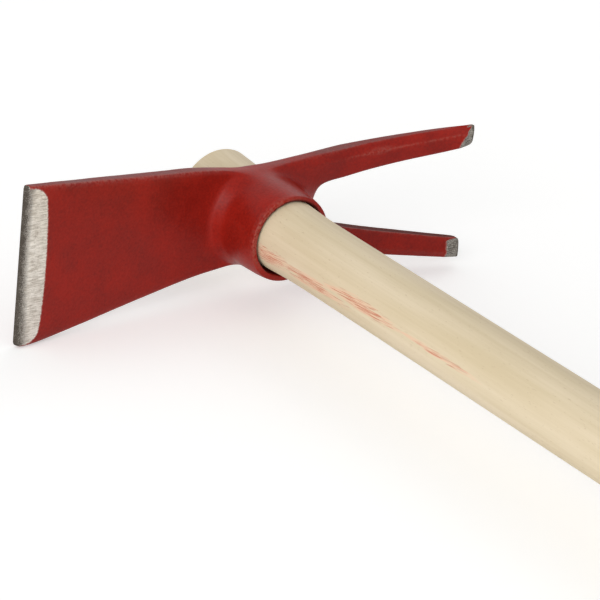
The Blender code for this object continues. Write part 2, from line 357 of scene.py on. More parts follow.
@dataclass(frozen=True)
class GroundSteel:
    """Carbon steel ground on a coarse belt across the edge, and left bare.

    It gives a bright band of fine streaks that run square to the edge. The edge itself and the tips are
    painted darker and browner, as a painted dark reflection.
    """

    bright: str = "#EEEAE2"
    streak: str = "#AAA195"
    # Darker, browner steel that paints a dark reflection on the blade's edge face and the tips of the
    # tines.
    painted_dark_reflection: str = "#514A43"
    streak_wide_mm: float = 0.34
    streak_long_mm: float = 5.0
    streak_detail: float = 3.0
    streak_depth_mm: float = 0.008
    grain: Mottle = Mottle(0.40, detail=1.0)
    smudge: Mottle = Mottle(3.0, detail=2.0)
    grain_brightness: float = 0.5
    smudge_brightness: float = 0.5
    bright_ramp: Ramp = Ramp(0.76, 1.20)
    # How the grain and the smudges break up the painted dark reflection.
    grain_dullness: float = 1.2
    smudge_dullness: float = 0.6
    painted_reflection_ramp: Ramp = Ramp(1.05, 1.85)
    streak_roughness: Ramp = Ramp(0.3, 0.7, low=0.58, high=0.34)

    def layer(self, tree: bpy.types.NodeTree, coordinates: bpy.types.NodeSocket) -> Layer:
        """Builds the ground surface; it reads the head's mesh attribute that holds a painted dark
        reflection.

        Args:
            tree: The material's tree.
            coordinates: Object coordinates.

        Returns:
            Its colour, roughness and height in metres, and a plain metal's gloss.
        """
        along = per_mm(self.streak_long_mm)
        stretched = add_node(tree, "ShaderNodeMapping", {
            "Vector": coordinates, "Scale": (along, along, per_mm(self.streak_wide_mm)),
        })
        streaks = add_node(tree, "ShaderNodeTexNoise", {
            "Vector": stretched, "Scale": 1.0, "Detail": self.streak_detail,
        })
        grain = add_node(tree, "ShaderNodeTexNoise", self.grain.on(coordinates))
        smudge = add_node(tree, "ShaderNodeTexNoise", self.smudge.on(coordinates))
        bright = streaks
        for pattern, weight in ((grain, self.grain_brightness), (smudge, self.smudge_brightness)):
            bright = add_node(tree, "ShaderNodeMath", {
                0: pattern, 1: weight, 2: bright,
            }, operation="MULTIPLY_ADD")
        # The painted dark reflection, from the head's mesh, broken up by the smudges and the grain.
        dull = add_node(tree, "ShaderNodeAttribute", out="Fac", attribute_name="painted_dark_reflection")
        for pattern, weight in ((smudge, self.smudge_dullness), (grain, self.grain_dullness)):
            dull = add_node(tree, "ShaderNodeMath", {
                0: pattern, 1: weight, 2: dull,
            }, operation="MULTIPLY_ADD")
        colour = tinted(
            tree, linear(self.streak),
            (add_node(tree, "ShaderNodeMapRange", self.bright_ramp.on(bright)), self.bright),
            (add_node(tree, "ShaderNodeMapRange", self.painted_reflection_ramp.on(dull)), self.painted_dark_reflection),
        )
        roughness = add_node(tree, "ShaderNodeMapRange", self.streak_roughness.on(streaks))
        height = add_node(tree, "ShaderNodeMath", {
            0: streaks, 1: self.streak_depth_mm * MM,
        }, operation="MULTIPLY")
        return Layer(colour, roughness, height)


@dataclass(frozen=True)
class PaintedForging:
    """The head's finish: red enamel over forged steel, ground through to bare steel at the edge and tips.

    The paint ends in a slightly ragged line where the belt ran out, and fades to pink just above it.
    """

    enamel: RedEnamel = RedEnamel()
    steel: GroundSteel = GroundSteel()
    ragged: Mottle = Mottle(0.9, detail=2.0)
    ragged_depth_mm: float = 0.7
    line_mm: float = 0.35
    fringe: str = "#B9827A"
    fringe_mm: float = 0.7
    fringe_cover: float = 0.6

    def material(self) -> bpy.types.Material:
        """Builds the material; it reads the attributes bare_mm, blunt, edge and side of the head's mesh.

        Returns:
            The material.
        """
        material, tree = new_material("red_enamel_on_forged_steel")
        coordinates = add_node(tree, "ShaderNodeTexCoord", out="Object")
        enamel = self.enamel.layer(tree, coordinates)
        steel = self.steel.layer(tree, coordinates)
        line = self._line(tree, coordinates)
        bare_ramp = Ramp(-self.line_mm / 2, self.line_mm / 2)
        bare = add_node(tree, "ShaderNodeMapRange", bare_ramp.on(line))
        fringe_ramp = Ramp(-self.fringe_mm, 0.0, high=self.fringe_cover)
        fringe = add_node(tree, "ShaderNodeMapRange", fringe_ramp.on(line))
        colour = add_node(tree, "ShaderNodeMix", {
            "Factor_Float": bare,
            "A_Color": tinted(tree, enamel.colour, (fringe, self.fringe)),
            "B_Color": steel.colour,
        }, out="Result_Color", data_type="RGBA")
        roughness, height, gloss = blended(tree, bare, (
            (enamel.roughness, steel.roughness), (enamel.height, steel.height), (enamel.gloss, steel.gloss),
        ))
        add_surface(tree, {
            "Base Color": colour, "Roughness": roughness, "Metallic": bare, "Specular IOR Level": gloss,
        }, height)
        return material

    def _line(self, tree: bpy.types.NodeTree, coordinates: bpy.types.NodeSocket) -> bpy.types.NodeSocket:
        """Finds the ragged line at which the paint ends.

        Args:
            tree: The material's tree.
            coordinates: Object coordinates.

        Returns:
            How far inside the bare steel a point is, in millimetres, negative on paint.
        """
        inside = add_node(tree, "ShaderNodeAttribute", out="Fac", attribute_name="bare_mm")
        ragged = add_node(tree, "ShaderNodeTexNoise", self.ragged.on(coordinates))
        shift_ramp = Ramp(0.0, 1.0, low=-self.ragged_depth_mm, high=self.ragged_depth_mm)
        shift = add_node(tree, "ShaderNodeMapRange", shift_ramp.on(ragged))
        return add_node(tree, "ShaderNodeMath", {0: inside, 1: shift}, operation="ADD")


class ScuffPatch(NamedTuple):
    """A patch of the handle where paint rubbed off on it, in degrees from the side that faces the blade."""

    below_rim_mm: float
    half_length_mm: float
    angle: float
    half_angle: float


@dataclass(frozen=True)
class SandedBeech:
    """Steamed beech, turned, sanded along its length and left raw.

    It gives a pale, even wood with faint long grain and short brown flecks, and on its sawn ends a darker
    tone with year rings and pores. Below the head it carries thin red scuffs with a pink blush, where the
    painted eye scraped along it as the head was driven home.
    """

    axis: tuple[float, float]
    rim_y: float
    pale: str = "#E8D8BB"
    warm: str = "#DCCBA9"
    ring: str = "#C4AC82"
    fleck: str = "#B3956E"
    end_tone: str = "#D3BC93"
    pore: str = "#94774F"
    scuff: str = "#C56346"
    blush: str = "#EEC8A9"
    roughness: float = 0.60
    gloss: float = 0.25
    grain: Grain = Grain(1.1, 70.0, detail=4.0)
    grain_warmth: float = 0.5
    grain_depth_mm: float = 0.02
    cloud: Grain = Grain(9.0, 90.0, detail=2.0)
    warm_ramp: Ramp = Ramp(0.55, 0.95)
    end_cover: float = 0.55
    ring_mm: float = 3.4
    ring_stretch: float = 0.02
    ring_waver: float = 3.0
    ring_detail: float = 2.0
    ring_detail_scale: float = 0.3
    pith_mm: tuple[float, float] = (-46.0, 21.0)
    side_ring_ramp: Ramp = Ramp(0.55, 1.0, high=0.08)
    end_ring_ramp: Ramp = Ramp(0.5, 1.0, high=0.6)
    flecks: Grain = Grain(0.40, 2.6, detail=1.0)
    fleck_ramp: Ramp = Ramp(0.68, 0.80, high=0.5)
    pores: Mottle = Mottle(0.45, detail=1.0)
    pore_ramp: Ramp = Ramp(0.58, 0.70, high=0.5)
    scuff_slant: float = 4.0
    scuff_edge: Ramp = Ramp(0.0, 0.25)
    scuff_streaks: Grain = Grain(0.26, 10.0, detail=1.0)
    scuff_density: float = 0.24
    scuff_ramp: Ramp = Ramp(0.72, 0.78, high=0.7)
    blush_streaks: Grain = Grain(1.04, 20.0, detail=2.0)
    blush_density: float = 0.28
    blush_ramp: Ramp = Ramp(0.54, 0.80, high=0.8)
    patches: tuple[ScuffPatch, ...] = (
        ScuffPatch(below_rim_mm=6.0, half_length_mm=24.0, angle=-13.0, half_angle=19.0),
        ScuffPatch(below_rim_mm=38.0, half_length_mm=34.0, angle=-13.0, half_angle=13.0),
        ScuffPatch(below_rim_mm=76.0, half_length_mm=30.0, angle=3.0, half_angle=13.0),
        ScuffPatch(below_rim_mm=130.0, half_length_mm=30.0, angle=4.0, half_angle=5.5),
    )

    def material(self) -> bpy.types.Material:
        """Builds the material on Object coordinates centred on the handle's axis, at the rim of the eye.

        Returns:
            The material; it reads the attribute sawn_end of the handle's mesh.
        """
        material, tree = new_material("sanded_beech")
        objects = add_node(tree, "ShaderNodeTexCoord", out="Object")
        centred = add_node(tree, "ShaderNodeMapping", {
            "Vector": objects, "Location": (-self.axis[0], -self.rim_y, -self.axis[1]),
        })
        grain = self._drawn(tree, centred, self.grain)
        height = add_node(tree, "ShaderNodeMath", {
            0: grain, 1: self.grain_depth_mm * MM,
        }, operation="MULTIPLY")
        add_surface(tree, {
            "Base Color": self._scuffed(tree, centred, self._wood(tree, centred, grain)),
            "Roughness": self.roughness,
            "Specular IOR Level": self.gloss,
        }, height)
        return material

    def _drawn(
        self,
        tree: bpy.types.NodeTree,
        vector: bpy.types.NodeSocket,
        grain: Grain,
    ) -> bpy.types.NodeSocket:
        """Draws a pattern out along the handle.

        Args:
            tree: The material's tree.
            vector: Coordinates in metres, with Y along the handle.
            grain: The pattern.

        Returns:
            The pattern, around 0.5.
        """
        across = per_mm(grain.wide_mm)
        drawn = add_node(tree, "ShaderNodeMapping", {
            "Vector": vector, "Scale": (across, per_mm(grain.long_mm), across),
        })
        return add_node(tree, "ShaderNodeTexNoise", {"Vector": drawn, "Scale": 1.0, "Detail": grain.detail})

    def _wood(
        self,
        tree: bpy.types.NodeTree,
        centred: bpy.types.NodeSocket,
        grain: bpy.types.NodeSocket,
    ) -> bpy.types.NodeSocket:
        """Colours the clean wood, with end grain on its sawn ends.

        Args:
            tree: The material's tree.
            centred: Coordinates from the handle's axis and the rim of the eye.
            grain: The long grain.

        Returns:
            The colour.
        """
        cloud = self._drawn(tree, centred, self.cloud)
        tone = add_node(tree, "ShaderNodeMath", {
            0: grain, 1: self.grain_warmth, 2: cloud,
        }, operation="MULTIPLY_ADD")
        warm = add_node(tree, "ShaderNodeMapRange", self.warm_ramp.on(tone))
        rings = self._rings(tree, centred)
        side_rings = add_node(tree, "ShaderNodeMapRange", self.side_ring_ramp.on(rings))
        end_rings = add_node(tree, "ShaderNodeMapRange", self.end_ring_ramp.on(rings))
        pores = add_node(tree, "ShaderNodeTexNoise", self.pores.on(centred))
        end_pores = add_node(tree, "ShaderNodeMapRange", self.pore_ramp.on(pores))
        flecks = self._drawn(tree, centred, self.flecks)
        fleck = add_node(tree, "ShaderNodeMapRange", self.fleck_ramp.on(flecks))
        end = add_node(tree, "ShaderNodeAttribute", out="Fac", attribute_name="sawn_end")
        sawn, ring, pore = blended(tree, end, (
            (0.0, self.end_cover), (side_rings, end_rings), (0.0, end_pores),
        ))
        return tinted(
            tree, linear(self.pale), (warm, self.warm), (sawn, self.end_tone), (ring, self.ring),
            (fleck, self.fleck), (pore, self.pore),
        )

    def _rings(self, tree: bpy.types.NodeTree, centred: bpy.types.NodeSocket) -> bpy.types.NodeSocket:
        """Draws year rings around a pith that lies outside the handle, as it was sawn from a log's side.

        Args:
            tree: The material's tree.
            centred: Coordinates from the handle's axis and the rim of the eye.

        Returns:
            The rings, from 0 between them to 1 on them.
        """
        pith_x, pith_z = self.pith_mm
        log = add_node(tree, "ShaderNodeMapping", {
            "Vector": centred, "Location": (pith_x * MM, 0.0, pith_z * MM),
            "Scale": (1.0, self.ring_stretch, 1.0),
        })
        return add_node(tree, "ShaderNodeTexWave", {
            "Vector": log, "Scale": per_mm(self.ring_mm) * WAVE_BAND, "Distortion": self.ring_waver,
            "Detail": self.ring_detail, "Detail Scale": self.ring_detail_scale,
        }, out="Fac", wave_type="RINGS", rings_direction="Y")

    def _scuffed(
        self,
        tree: bpy.types.NodeTree,
        centred: bpy.types.NodeSocket,
        wood: bpy.types.NodeSocket,
    ) -> bpy.types.NodeSocket:
        """Rubs paint into the wood on the side that faces the blade.

        Args:
            tree: The material's tree.
            centred: Coordinates from the handle's axis and the rim of the eye.
            wood: The clean wood's colour.

        Returns:
            The scuffed wood's colour.
        """
        x, y, z = add_node(tree, "ShaderNodeSeparateXYZ", {0: centred}).node.outputs
        blade_side = add_node(tree, "ShaderNodeMath", {0: x, 1: -1.0}, operation="MULTIPLY")
        turn = add_node(tree, "ShaderNodeMath", {0: z, 1: blade_side}, operation="ARCTAN2")
        density = self._patch(tree, turn, y, self.patches[0])
        for patch in self.patches[1:]:
            density = add_node(tree, "ShaderNodeMath", {
                0: density, 1: self._patch(tree, turn, y, patch),
            }, operation="MAXIMUM")
        inside = add_node(tree, "ShaderNodeMapRange", self.scuff_edge.on(density))
        slanted = add_node(tree, "ShaderNodeMapping", {
            "Vector": centred, "Rotation": (math.radians(self.scuff_slant), 0.0, 0.0),
        })
        marks = []
        for streaks, weight, steps, tint in (
            (self.blush_streaks, self.blush_density, self.blush_ramp, self.blush),
            (self.scuff_streaks, self.scuff_density, self.scuff_ramp, self.scuff),
        ):
            pressed = add_node(tree, "ShaderNodeMath", {
                0: density, 1: weight, 2: self._drawn(tree, slanted, streaks),
            }, operation="MULTIPLY_ADD")
            mark = add_node(tree, "ShaderNodeMapRange", steps.on(pressed))
            cover = add_node(tree, "ShaderNodeMath", {0: inside, 1: mark}, operation="MULTIPLY")
            marks.append((cover, tint))
        return tinted(tree, wood, *marks)

    def _patch(
        self,
        tree: bpy.types.NodeTree,
        turn: bpy.types.NodeSocket,
        y: bpy.types.NodeSocket,
        patch: ScuffPatch,
    ) -> bpy.types.NodeSocket:
        """How densely a patch is scuffed, from 0 outside it to 1 in its middle.

        Args:
            tree: The material's tree.
            turn: Angle around the handle from the side that faces the blade.
            y: Distance along the handle from the rim, negative towards the grip.
            patch: The patch.

        Returns:
            The density.
        """
        half_length = patch.half_length_mm * MM
        along = add_node(tree, "ShaderNodeMath", {
            0: y, 1: 1 / half_length, 2: patch.below_rim_mm * MM / half_length,
        }, operation="MULTIPLY_ADD")
        around = add_node(tree, "ShaderNodeMath", {
            0: turn, 1: 1 / math.radians(patch.half_angle), 2: -patch.angle / patch.half_angle,
        }, operation="MULTIPLY_ADD")
        along_squared = add_node(tree, "ShaderNodeMath", {0: along, 1: along}, operation="MULTIPLY")
        away = add_node(tree, "ShaderNodeMath", {
            0: around, 1: around, 2: along_squared,
        }, operation="MULTIPLY_ADD")
        return add_node(tree, "ShaderNodeMapRange", Ramp(1.0, 0.0).on(away))


@dataclass(frozen=True)
class ToolSite:
    """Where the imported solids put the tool, read from their boxes."""

    eye: Vector
    handle_length: float
    top_lift: float
    collar_lift: float
    back_lift: float
    blade_reach: float
    tine_reach: float

    @classmethod
    def from_frame(cls) -> "ToolSite":
        """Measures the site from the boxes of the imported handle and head.

        Returns:
            The site.
        """
        handle_low, handle_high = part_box("handle")
        head_low, head_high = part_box("forged_head")
        axis = (handle_low + handle_high) / 2
        eye = Vector((axis.x, head_high.y - EYE_BACK_DEPTH, axis.z))
        return cls(
            eye=eye,
            handle_length=handle_high.y - handle_low.y,
            top_lift=eye.y - handle_high.y,
            collar_lift=eye.y - head_low.y,
            back_lift=eye.y - head_high.y,
            blade_reach=eye.x - head_low.x,
            tine_reach=head_high.x - eye.x,
        )


@dataclass(frozen=True)
class HandleCone:
    """The turned profile that the handle and the eye share: a cone that runs out into a straight shaft."""

    top_lift: float
    shaft_radius: float = 0.0160
    top_radius: float = 0.0208
    length: float = 0.073
    run_out: float = 0.00035

    def radius(self, lift: float) -> float:
        """The handle's radius at a lift along its axis."""
        over_shaft = (self.top_radius - self.shaft_radius) * (1 - (lift - self.top_lift) / self.length)
        return self.shaft_radius + (over_shaft + math.hypot(over_shaft, 2 * self.run_out)) / 2


class Sharpness(Enum):
    """How sharp an edge of the forging is, as a crease of its cage."""

    FADING = 0.20
    WORN = 0.30
    DIE_RADIUS = 0.40
    EASED = 0.50
    GROUND = 1.0


class Cage:
    """Coarse quads that the skin of the forging is subdivided from."""

    def __init__(self) -> None:
        """Starts an empty cage whose edges can be creased."""
        self.shape = bmesh.new()
        self.crease = self.shape.edges.layers.float.new("crease_edge")

    def vertex(self, point: Place) -> bmesh.types.BMVert:
        """Adds a vertex at (reach, lift, height)."""
        return self.shape.verts.new(place(*point))

    def strip(self, row: Row, after: Row) -> None:
        """Joins two rows of vertices with quads."""
        for i in range(len(row) - 1):
            self.shape.faces.new((row[i], row[i + 1], after[i + 1], after[i]))

    def sharpen(self, line: Sequence[bmesh.types.BMVert], how: Sharpness) -> None:
        """Creases the edges along a line of vertices."""
        for a, b in zip(line, line[1:]):
            self.shape.edges.get((a, b))[self.crease] = how.value


class Section(NamedTuple):
    """One cross-section of a limb: its front row, the middles of its thickness and its back row."""

    front: Row
    middle: Row
    back: Row


@dataclass(frozen=True)
class Collar:
    """The round eye of the head, with the bar that the limbs spring from and the collar raised on it.

    Its rings have a vertex at each angle of columns, in degrees from the crotch of the fork towards the
    upper tine. The other fields that hold column numbers count into that row.
    """

    cone: HandleCone
    mouth_lift: float
    back_lift: float
    bar_thickness: float = 0.0078
    bar_sink: float = 0.0035
    fillet: float = 0.0062
    blade_fillet: float = 0.0046
    blade_spread: tuple[float, ...] = (0.0, 1.0, 0.9, 0.65, 0.68, 0.7, 0.0)
    shoulders: tuple[tuple[int, float], ...] = ((3, 0.0009), (4, 0.0024), (10, 0.0016))
    drop: float = 0.0006
    seat_clearance: float = 0.0003
    mouth_clearance: float = 0.0009
    mouth_wall: float = 0.0025
    mouth_flank: float = 0.0050
    flank_swell: float = 0.7
    wall: float = 0.0030
    bar_front_wall: float = 0.0024
    bar_wall: float = 0.0016
    boss_wall: float = 0.0020
    crotch_wall: float = 0.0124
    fork_root_run: float = 0.0045
    fork_root_half_gap: float = 0.0080
    ring_growth: float = 1.048
    rim_chamfer: float = 0.0005
    bore_cover: float = 0.80
    bore_sides: int = 160
    bore_steps: int = 5
    bore_past: float = 0.006
    free_columns: tuple[tuple[int, ...], ...] = ((-1, 0, 1), (3, 4), (10, 11))
    blade_columns: tuple[int, ...] = (4, 5, 6, 7, 8, 9, 10)
    columns: tuple[int, ...] = (0, 24, 52, 82, 110, 133, 156, 180, 204, 227, 250, 278, 308, 336)

    @property
    def bar_front(self) -> float:
        """Lift of the bar's front face."""
        return -self.bar_sink + self.bar_thickness / 2

    @property
    def bar_back(self) -> float:
        """Lift of the bar's back face."""
        return -self.bar_sink - self.bar_thickness / 2

    @property
    def bar_radius(self) -> float:
        """Radius of the bar around the eye."""
        return self.eye_radius(-self.bar_sink) + self.bar_wall

    @property
    def crotch_reach(self) -> float:
        """Reach of the crotch of the fork."""
        return self.eye_radius(-self.bar_sink) + self.crotch_wall

    def mouth_share(self, lift: float) -> float:
        """How far a lift is from the back of the eye, 0, to its mouth, 1."""
        return (lift - self.back_lift) / (self.mouth_lift - self.back_lift)

    def eye_radius(self, lift: float) -> float:
        """The eye's radius: the handle's cone plus a clearance that grows towards the mouth."""
        clearance = between(self.seat_clearance, self.mouth_clearance, self.mouth_share(lift) ** 2)
        return self.cone.radius(lift) + clearance

    def ring(self, cage: Cage, radius: float, lift: float) -> Row:
        """Adds a ring of the cage, widened to make up for what the subdivision rounds away.

        Args:
            cage: The cage to build in.
            radius: Its radius on the finished forging.
            lift: Its lift.

        Returns:
            Its vertices, one in each column.
        """
        turns = (math.radians(angle) for angle in self.columns)
        wide = radius * self.ring_growth
        return [cage.vertex((wide * math.cos(t), lift, wide * math.sin(t) - self.drop)) for t in turns]

    def bar_ring(self, cage: Cage, radius: float, lift: float, blade_fillet: float = 0.0) -> Row:
        """Adds a ring of the bar: round on the blade's side and drawn out to the crotch of the fork.

        Args:
            cage: The cage to build in.
            radius: Its radius around the eye.
            lift: Its lift.
            blade_fillet: How far it is filled out towards the blade.

        Returns:
            Its vertices, one in each column.
        """
        made = self.ring(cage, radius, lift)
        for column, share in zip(self.blade_columns, self.blade_spread):
            made[column].co *= 1 + blade_fillet * share / radius
        for column, extra in self.shoulders:
            made[column].co *= 1 + extra / radius
        root_reach = self.crotch_reach + self.fork_root_run
        made[0].co = place(self.crotch_reach, lift, 0.0)
        made[1].co = place(root_reach, lift, self.fork_root_half_gap)
        made[-1].co = place(root_reach, lift, -self.fork_root_half_gap)
        return made

    def build(self, cage: Cage) -> Section:
        """Skins the collar and the boss.

        Args:
            cage: The cage to build in.

        Returns:
            The front, middle and back rings of the bar, which the limbs grow from.
        """
        foot_lift = self.bar_front + self.fillet
        mouth = self.eye_radius(self.mouth_lift) + self.mouth_wall
        widest = self.eye_radius(foot_lift) + self.wall
        boss = self.eye_radius(self.back_lift) + self.boss_wall
        front_radius = self.eye_radius(self.bar_front) + self.bar_front_wall
        mouth_cover = self.ring(cage, mouth * self.bore_cover, self.mouth_lift)
        rim = self.ring(cage, mouth, self.mouth_lift)
        swollen = between(mouth, widest, self.flank_swell)
        flank = self.ring(cage, swollen, self.mouth_lift - self.mouth_flank)
        foot = self.ring(cage, widest, foot_lift)
        bar = Section(
            front=self.bar_ring(cage, front_radius, self.bar_front, self.blade_fillet),
            middle=self.bar_ring(cage, self.bar_radius, -self.bar_sink),
            back=self.bar_ring(cage, self.bar_radius, self.bar_back),
        )
        boss_rim = self.ring(cage, boss, self.back_lift)
        boss_cover = self.ring(cage, boss * self.bore_cover, self.back_lift)
        for rings in ((mouth_cover, rim, flank, foot, bar.front), (bar.back, boss_rim, boss_cover)):
            for ring, after in zip(rings, rings[1:]):
                cage.strip(ring + ring[:1], after + after[:1])
        cage.shape.faces.new(mouth_cover)
        cage.shape.faces.new(boss_cover)
        for edge in (rim, boss_rim):
            cage.sharpen(edge + edge[:1], Sharpness.EASED)
        cage.sharpen([foot[i] for i in self.blade_columns], Sharpness.DIE_RADIUS)
        for free in self.free_columns:
            for ring, after in zip(bar, bar[1:]):
                cage.strip([ring[i] for i in free], [after[i] for i in free])
        return bar

    def bore(self) -> bmesh.types.BMesh:
        """The tool that bores the eye, with a small countersink that eases its mouth.

        Returns:
            A closed solid of rings, which stands out past both ends of the eye.
        """
        rings = [(self.back_lift - self.bore_past, self.eye_radius(self.back_lift), 0.0)]
        for step in range(self.bore_steps + 1):
            lift = between(self.back_lift, self.mouth_lift - self.rim_chamfer, step / self.bore_steps)
            rings.append((lift, self.eye_radius(lift), self.drop * self.mouth_share(lift) ** 2))
        countersink = self.eye_radius(self.mouth_lift) + self.rim_chamfer
        rings.append((self.mouth_lift, countersink, self.drop))
        rings.append((self.mouth_lift + self.bore_past, countersink, self.drop))
        shape = bmesh.new()
        rows = []
        for lift, radius, drop in rings:
            turns = (2 * math.pi * i / self.bore_sides for i in range(self.bore_sides))
            points = (place(radius * math.cos(t), lift, radius * math.sin(t) - drop) for t in turns)
            rows.append([shape.verts.new(point) for point in points])
        for row, after in zip(rows, rows[1:]):
            for i in range(self.bore_sides):
                shape.faces.new((row[i - 1], row[i], after[i], after[i - 1]))
        shape.faces.new(rows[0])
        shape.faces.new(rows[-1])
        bmesh.ops.recalc_face_normals(shape, faces=shape.faces)
        return shape


class Limb:
    """What the blade and the tines share: a skin over a row of cross-sections."""

    front_edge: Sharpness = Sharpness.DIE_RADIUS
    corners: tuple[Sharpness, Sharpness] = (Sharpness.EASED, Sharpness.EASED)

    def section(self, cage: Cage, fronts: list[Place], backs: list[Place], end: bool = False) -> Section:
        """Adds one cross-section to the cage.

        Args:
            cage: The cage to build in.
            fronts: Places along the front face.
            backs: Places along the back face.
            end: Whether the limb ends here, where the middle row runs right across.

        Returns:
            The rows of the section.
        """
        pairs = list(zip(fronts, backs))
        kept = pairs if end else [pairs[0], pairs[-1]]
        middles = [tuple(between(a, b, 0.5) for a, b in zip(front, back)) for front, back in kept]
        rows = ([cage.vertex(point) for point in points] for points in (fronts, middles, backs))
        return Section(*rows)

    def root(self, bar: Section, columns: Sequence[int]) -> Section:
        """The stretch of the bar that a limb springs from."""
        front, middle, back = ([ring[i] for i in columns] for ring in bar)
        return Section(front, [middle[0], middle[-1]], back)

    def skin(self, cage: Cage, sections: list[Section], end_front: Sharpness) -> None:
        """Skins a limb from its root to its last section, closes its end and creases its edges.

        Args:
            cage: The cage to build in.
            sections: The sections, from the root on.
            end_front: How sharp the front edge of its end is.
        """
        for rows in ([s.front for s in sections], [s.back for s in sections]):
            for row, after in zip(rows, rows[1:]):
                cage.strip(row, after)
        for side in SIDES:
            front_edge = [s.front[side] for s in sections]
            middle_line = [s.middle[side] for s in sections]
            back_edge = [s.back[side] for s in sections]
            cage.strip(front_edge, middle_line)
            cage.strip(middle_line, back_edge)
            cage.sharpen(front_edge[1:], self.front_edge)
            cage.sharpen(back_edge[1:], Sharpness.DIE_RADIUS)
        last = sections[-1]
        cage.strip(last.front, last.middle)
        cage.strip(last.middle, last.back)
        cage.sharpen(sections[-2].front, Sharpness.GROUND)
        cage.sharpen(last.front, end_front)
        cage.sharpen(last.back, Sharpness.GROUND)
        for side, how in zip(SIDES, self.corners):
            cage.sharpen([row[side] for row in last], how)


@dataclass(frozen=True)
class Blade(Limb):
    """The flaring blade, drawn thin towards a cutting edge that is ground from the front.

    Its shares run from 0 at the root to 1 at the cutting edge, and its rows from -1 at the lower side to 1
    at the upper one.
    """

    collar: Collar
    reach: float
    root_run: float = 0.0042
    root_bow: float = 0.0130
    edge_width: float = 0.0763
    root_flare: float = 0.0036
    root_rise: float = 0.0003
    shoulder: float = 0.0011
    shoulder_fade: int = 8
    low_side: float = 0.0012
    low_side_fade: int = 10
    root_thickness: float = 0.0070
    edge_thickness: float = 0.0046
    edge_lift: float = 0.0112
    lift_power: float = 1.2
    crown: float = 0.0005
    bevel_length: float = 0.0115
    bevel_curve: float = 0.0030
    bevel_depth: float = 0.0010
    end_slant: float = 0.0014
    neck_share: float = 0.17
    shares: tuple[float, ...] = (0.40, 0.66)
    rows: tuple[float, ...] = (1.0, 0.72, 0.38, 0.0, -0.38, -0.72, -1.0)
    corner_wear: float = 0.0010
    front_edge: Sharpness = Sharpness.FADING
    bare_corner_mm: float = 6.5
    bare_margin_mm: float = 1.6
    bare_end_mm: float = 3.0
    # Where the painted dark reflection starts near the edge, and how far it runs, further at the corners.
    blunt_from_mm: float = 0.5
    blunt_mm: float = 2.6
    blunt_corner_mm: float = 3.0
    blunt_middle: float = 0.15

    @property
    def root_reach(self) -> float:
        """Reach at which the blade leaves the bar."""
        return self.collar.bar_radius + self.root_run

    def half_width(self, share: float) -> float:
        """Half of the blade's width at a share of its length."""
        root = self.collar.bar_radius + self.root_flare
        return between(root, self.edge_width / 2, share)

    def height(self, share: float, across: float) -> float:
        """The height of a point of the blade, before its worn lower corner.

        Args:
            share: Where it lies along the blade.
            across: Its row.

        Returns:
            The height.
        """
        level = self.half_width(share) * across + self.root_rise * (1 - share)
        upper = self.shoulder * max(across, 0.0) * (1 - share) ** self.shoulder_fade
        lower = self.low_side * max(-across, 0.0) * (1 - share ** self.low_side_fade)
        return level + upper - lower

    def cut(
        self,
        cage: Cage,
        share: float,
        bow: float = 0.0,
        grind: float = 0.0,
        slant: float = 0.0,
        end: bool = False,
    ) -> Section:
        """A cross-section of the blade.

        Args:
            cage: The cage to build in.
            share: Where it lies.
            bow: How far its middle runs ahead of its sides.
            grind: What grinding takes off its front.
            slant: How far its front stands back from its back.
            end: Whether the blade ends here.

        Returns:
            The rows of the section.
        """
        thickness = between(self.root_thickness, self.edge_thickness, share)
        lift = between(-self.collar.bar_sink, self.edge_lift, share ** self.lift_power)
        reach = -between(self.root_reach, self.reach, share)
        fronts = []
        backs = []
        for across in self.rows:
            crown = self.crown * (1 - across ** 2)
            bowed = reach - bow * math.sqrt(1 - across ** 2)
            height = self.height(share, across)
            if end and across == self.rows[-1]:
                height += self.corner_wear
            fronts.append((bowed + slant, lift + thickness / 2 + crown - grind, height))
            backs.append((bowed, lift - thickness / 2, height))
        return self.section(cage, fronts, backs, end)

    def build(self, cage: Cage, bar: Section) -> None:
        """Skins the blade from the bar to the cutting edge.

        Args:
            cage: The cage to build in.
            bar: The rings of the bar that it grows from.
        """
        grind_start = 1 - (self.bevel_length - self.bevel_curve) / (self.reach - self.root_reach)
        sections = [
            self.root(bar, self.collar.blade_columns),
            self.cut(cage, 0.0, bow=self.root_bow),
            self.cut(cage, self.neck_share, bow=self.root_bow / 2),
        ]
        sections.extend(self.cut(cage, share) for share in self.shares)
        sections.append(self.cut(cage, grind_start, bow=-self.bevel_curve))
        sections.append(self.cut(cage, 1.0, grind=self.bevel_depth, slant=self.end_slant, end=True))
        self.skin(cage, sections, Sharpness.WORN)
        cage.sharpen(sections[0].front, Sharpness.DIE_RADIUS)
        for side in SIDES:
            cage.sharpen([s.front[side] for s in sections[:2]], Sharpness.WORN)

    def bare(self, points: np.ndarray, normals: np.ndarray) -> np.ndarray:
        """How far each point lies inside the ground steel of the cutting edge, in millimetres.

        Args:
            points: Places as (reach, lift, height).
            normals: The surface's normals, in the same axes.

        Returns:
            Distances, negative on paint.
        """
        from_edge = (self.reach + points[:, 0]) / MM
        height = points[:, 2] / MM
        half = self.edge_width / 2 / MM
        across = np.clip(height / half, -1, 1)
        line = (self.bevel_length - self.bevel_curve * (1 - np.sqrt(1 - across ** 2))) / MM
        inside = line - from_edge
        from_side = half - np.abs(height) - self.bare_margin_mm
        corner = self.bare_corner_mm
        out = np.stack((corner - inside, corner - from_side))
        rounded = corner - np.hypot(*np.maximum(out, 0)) - np.minimum(out.max(axis=0), 0)
        front = normals[:, 1] > FRONT_FACING
        end = (normals[:, 0] < -END_FACING) & (from_edge < self.bare_end_mm)
        return np.where(end, ALL_BARE_MM, np.where(front, rounded, ALL_PAINTED_MM))

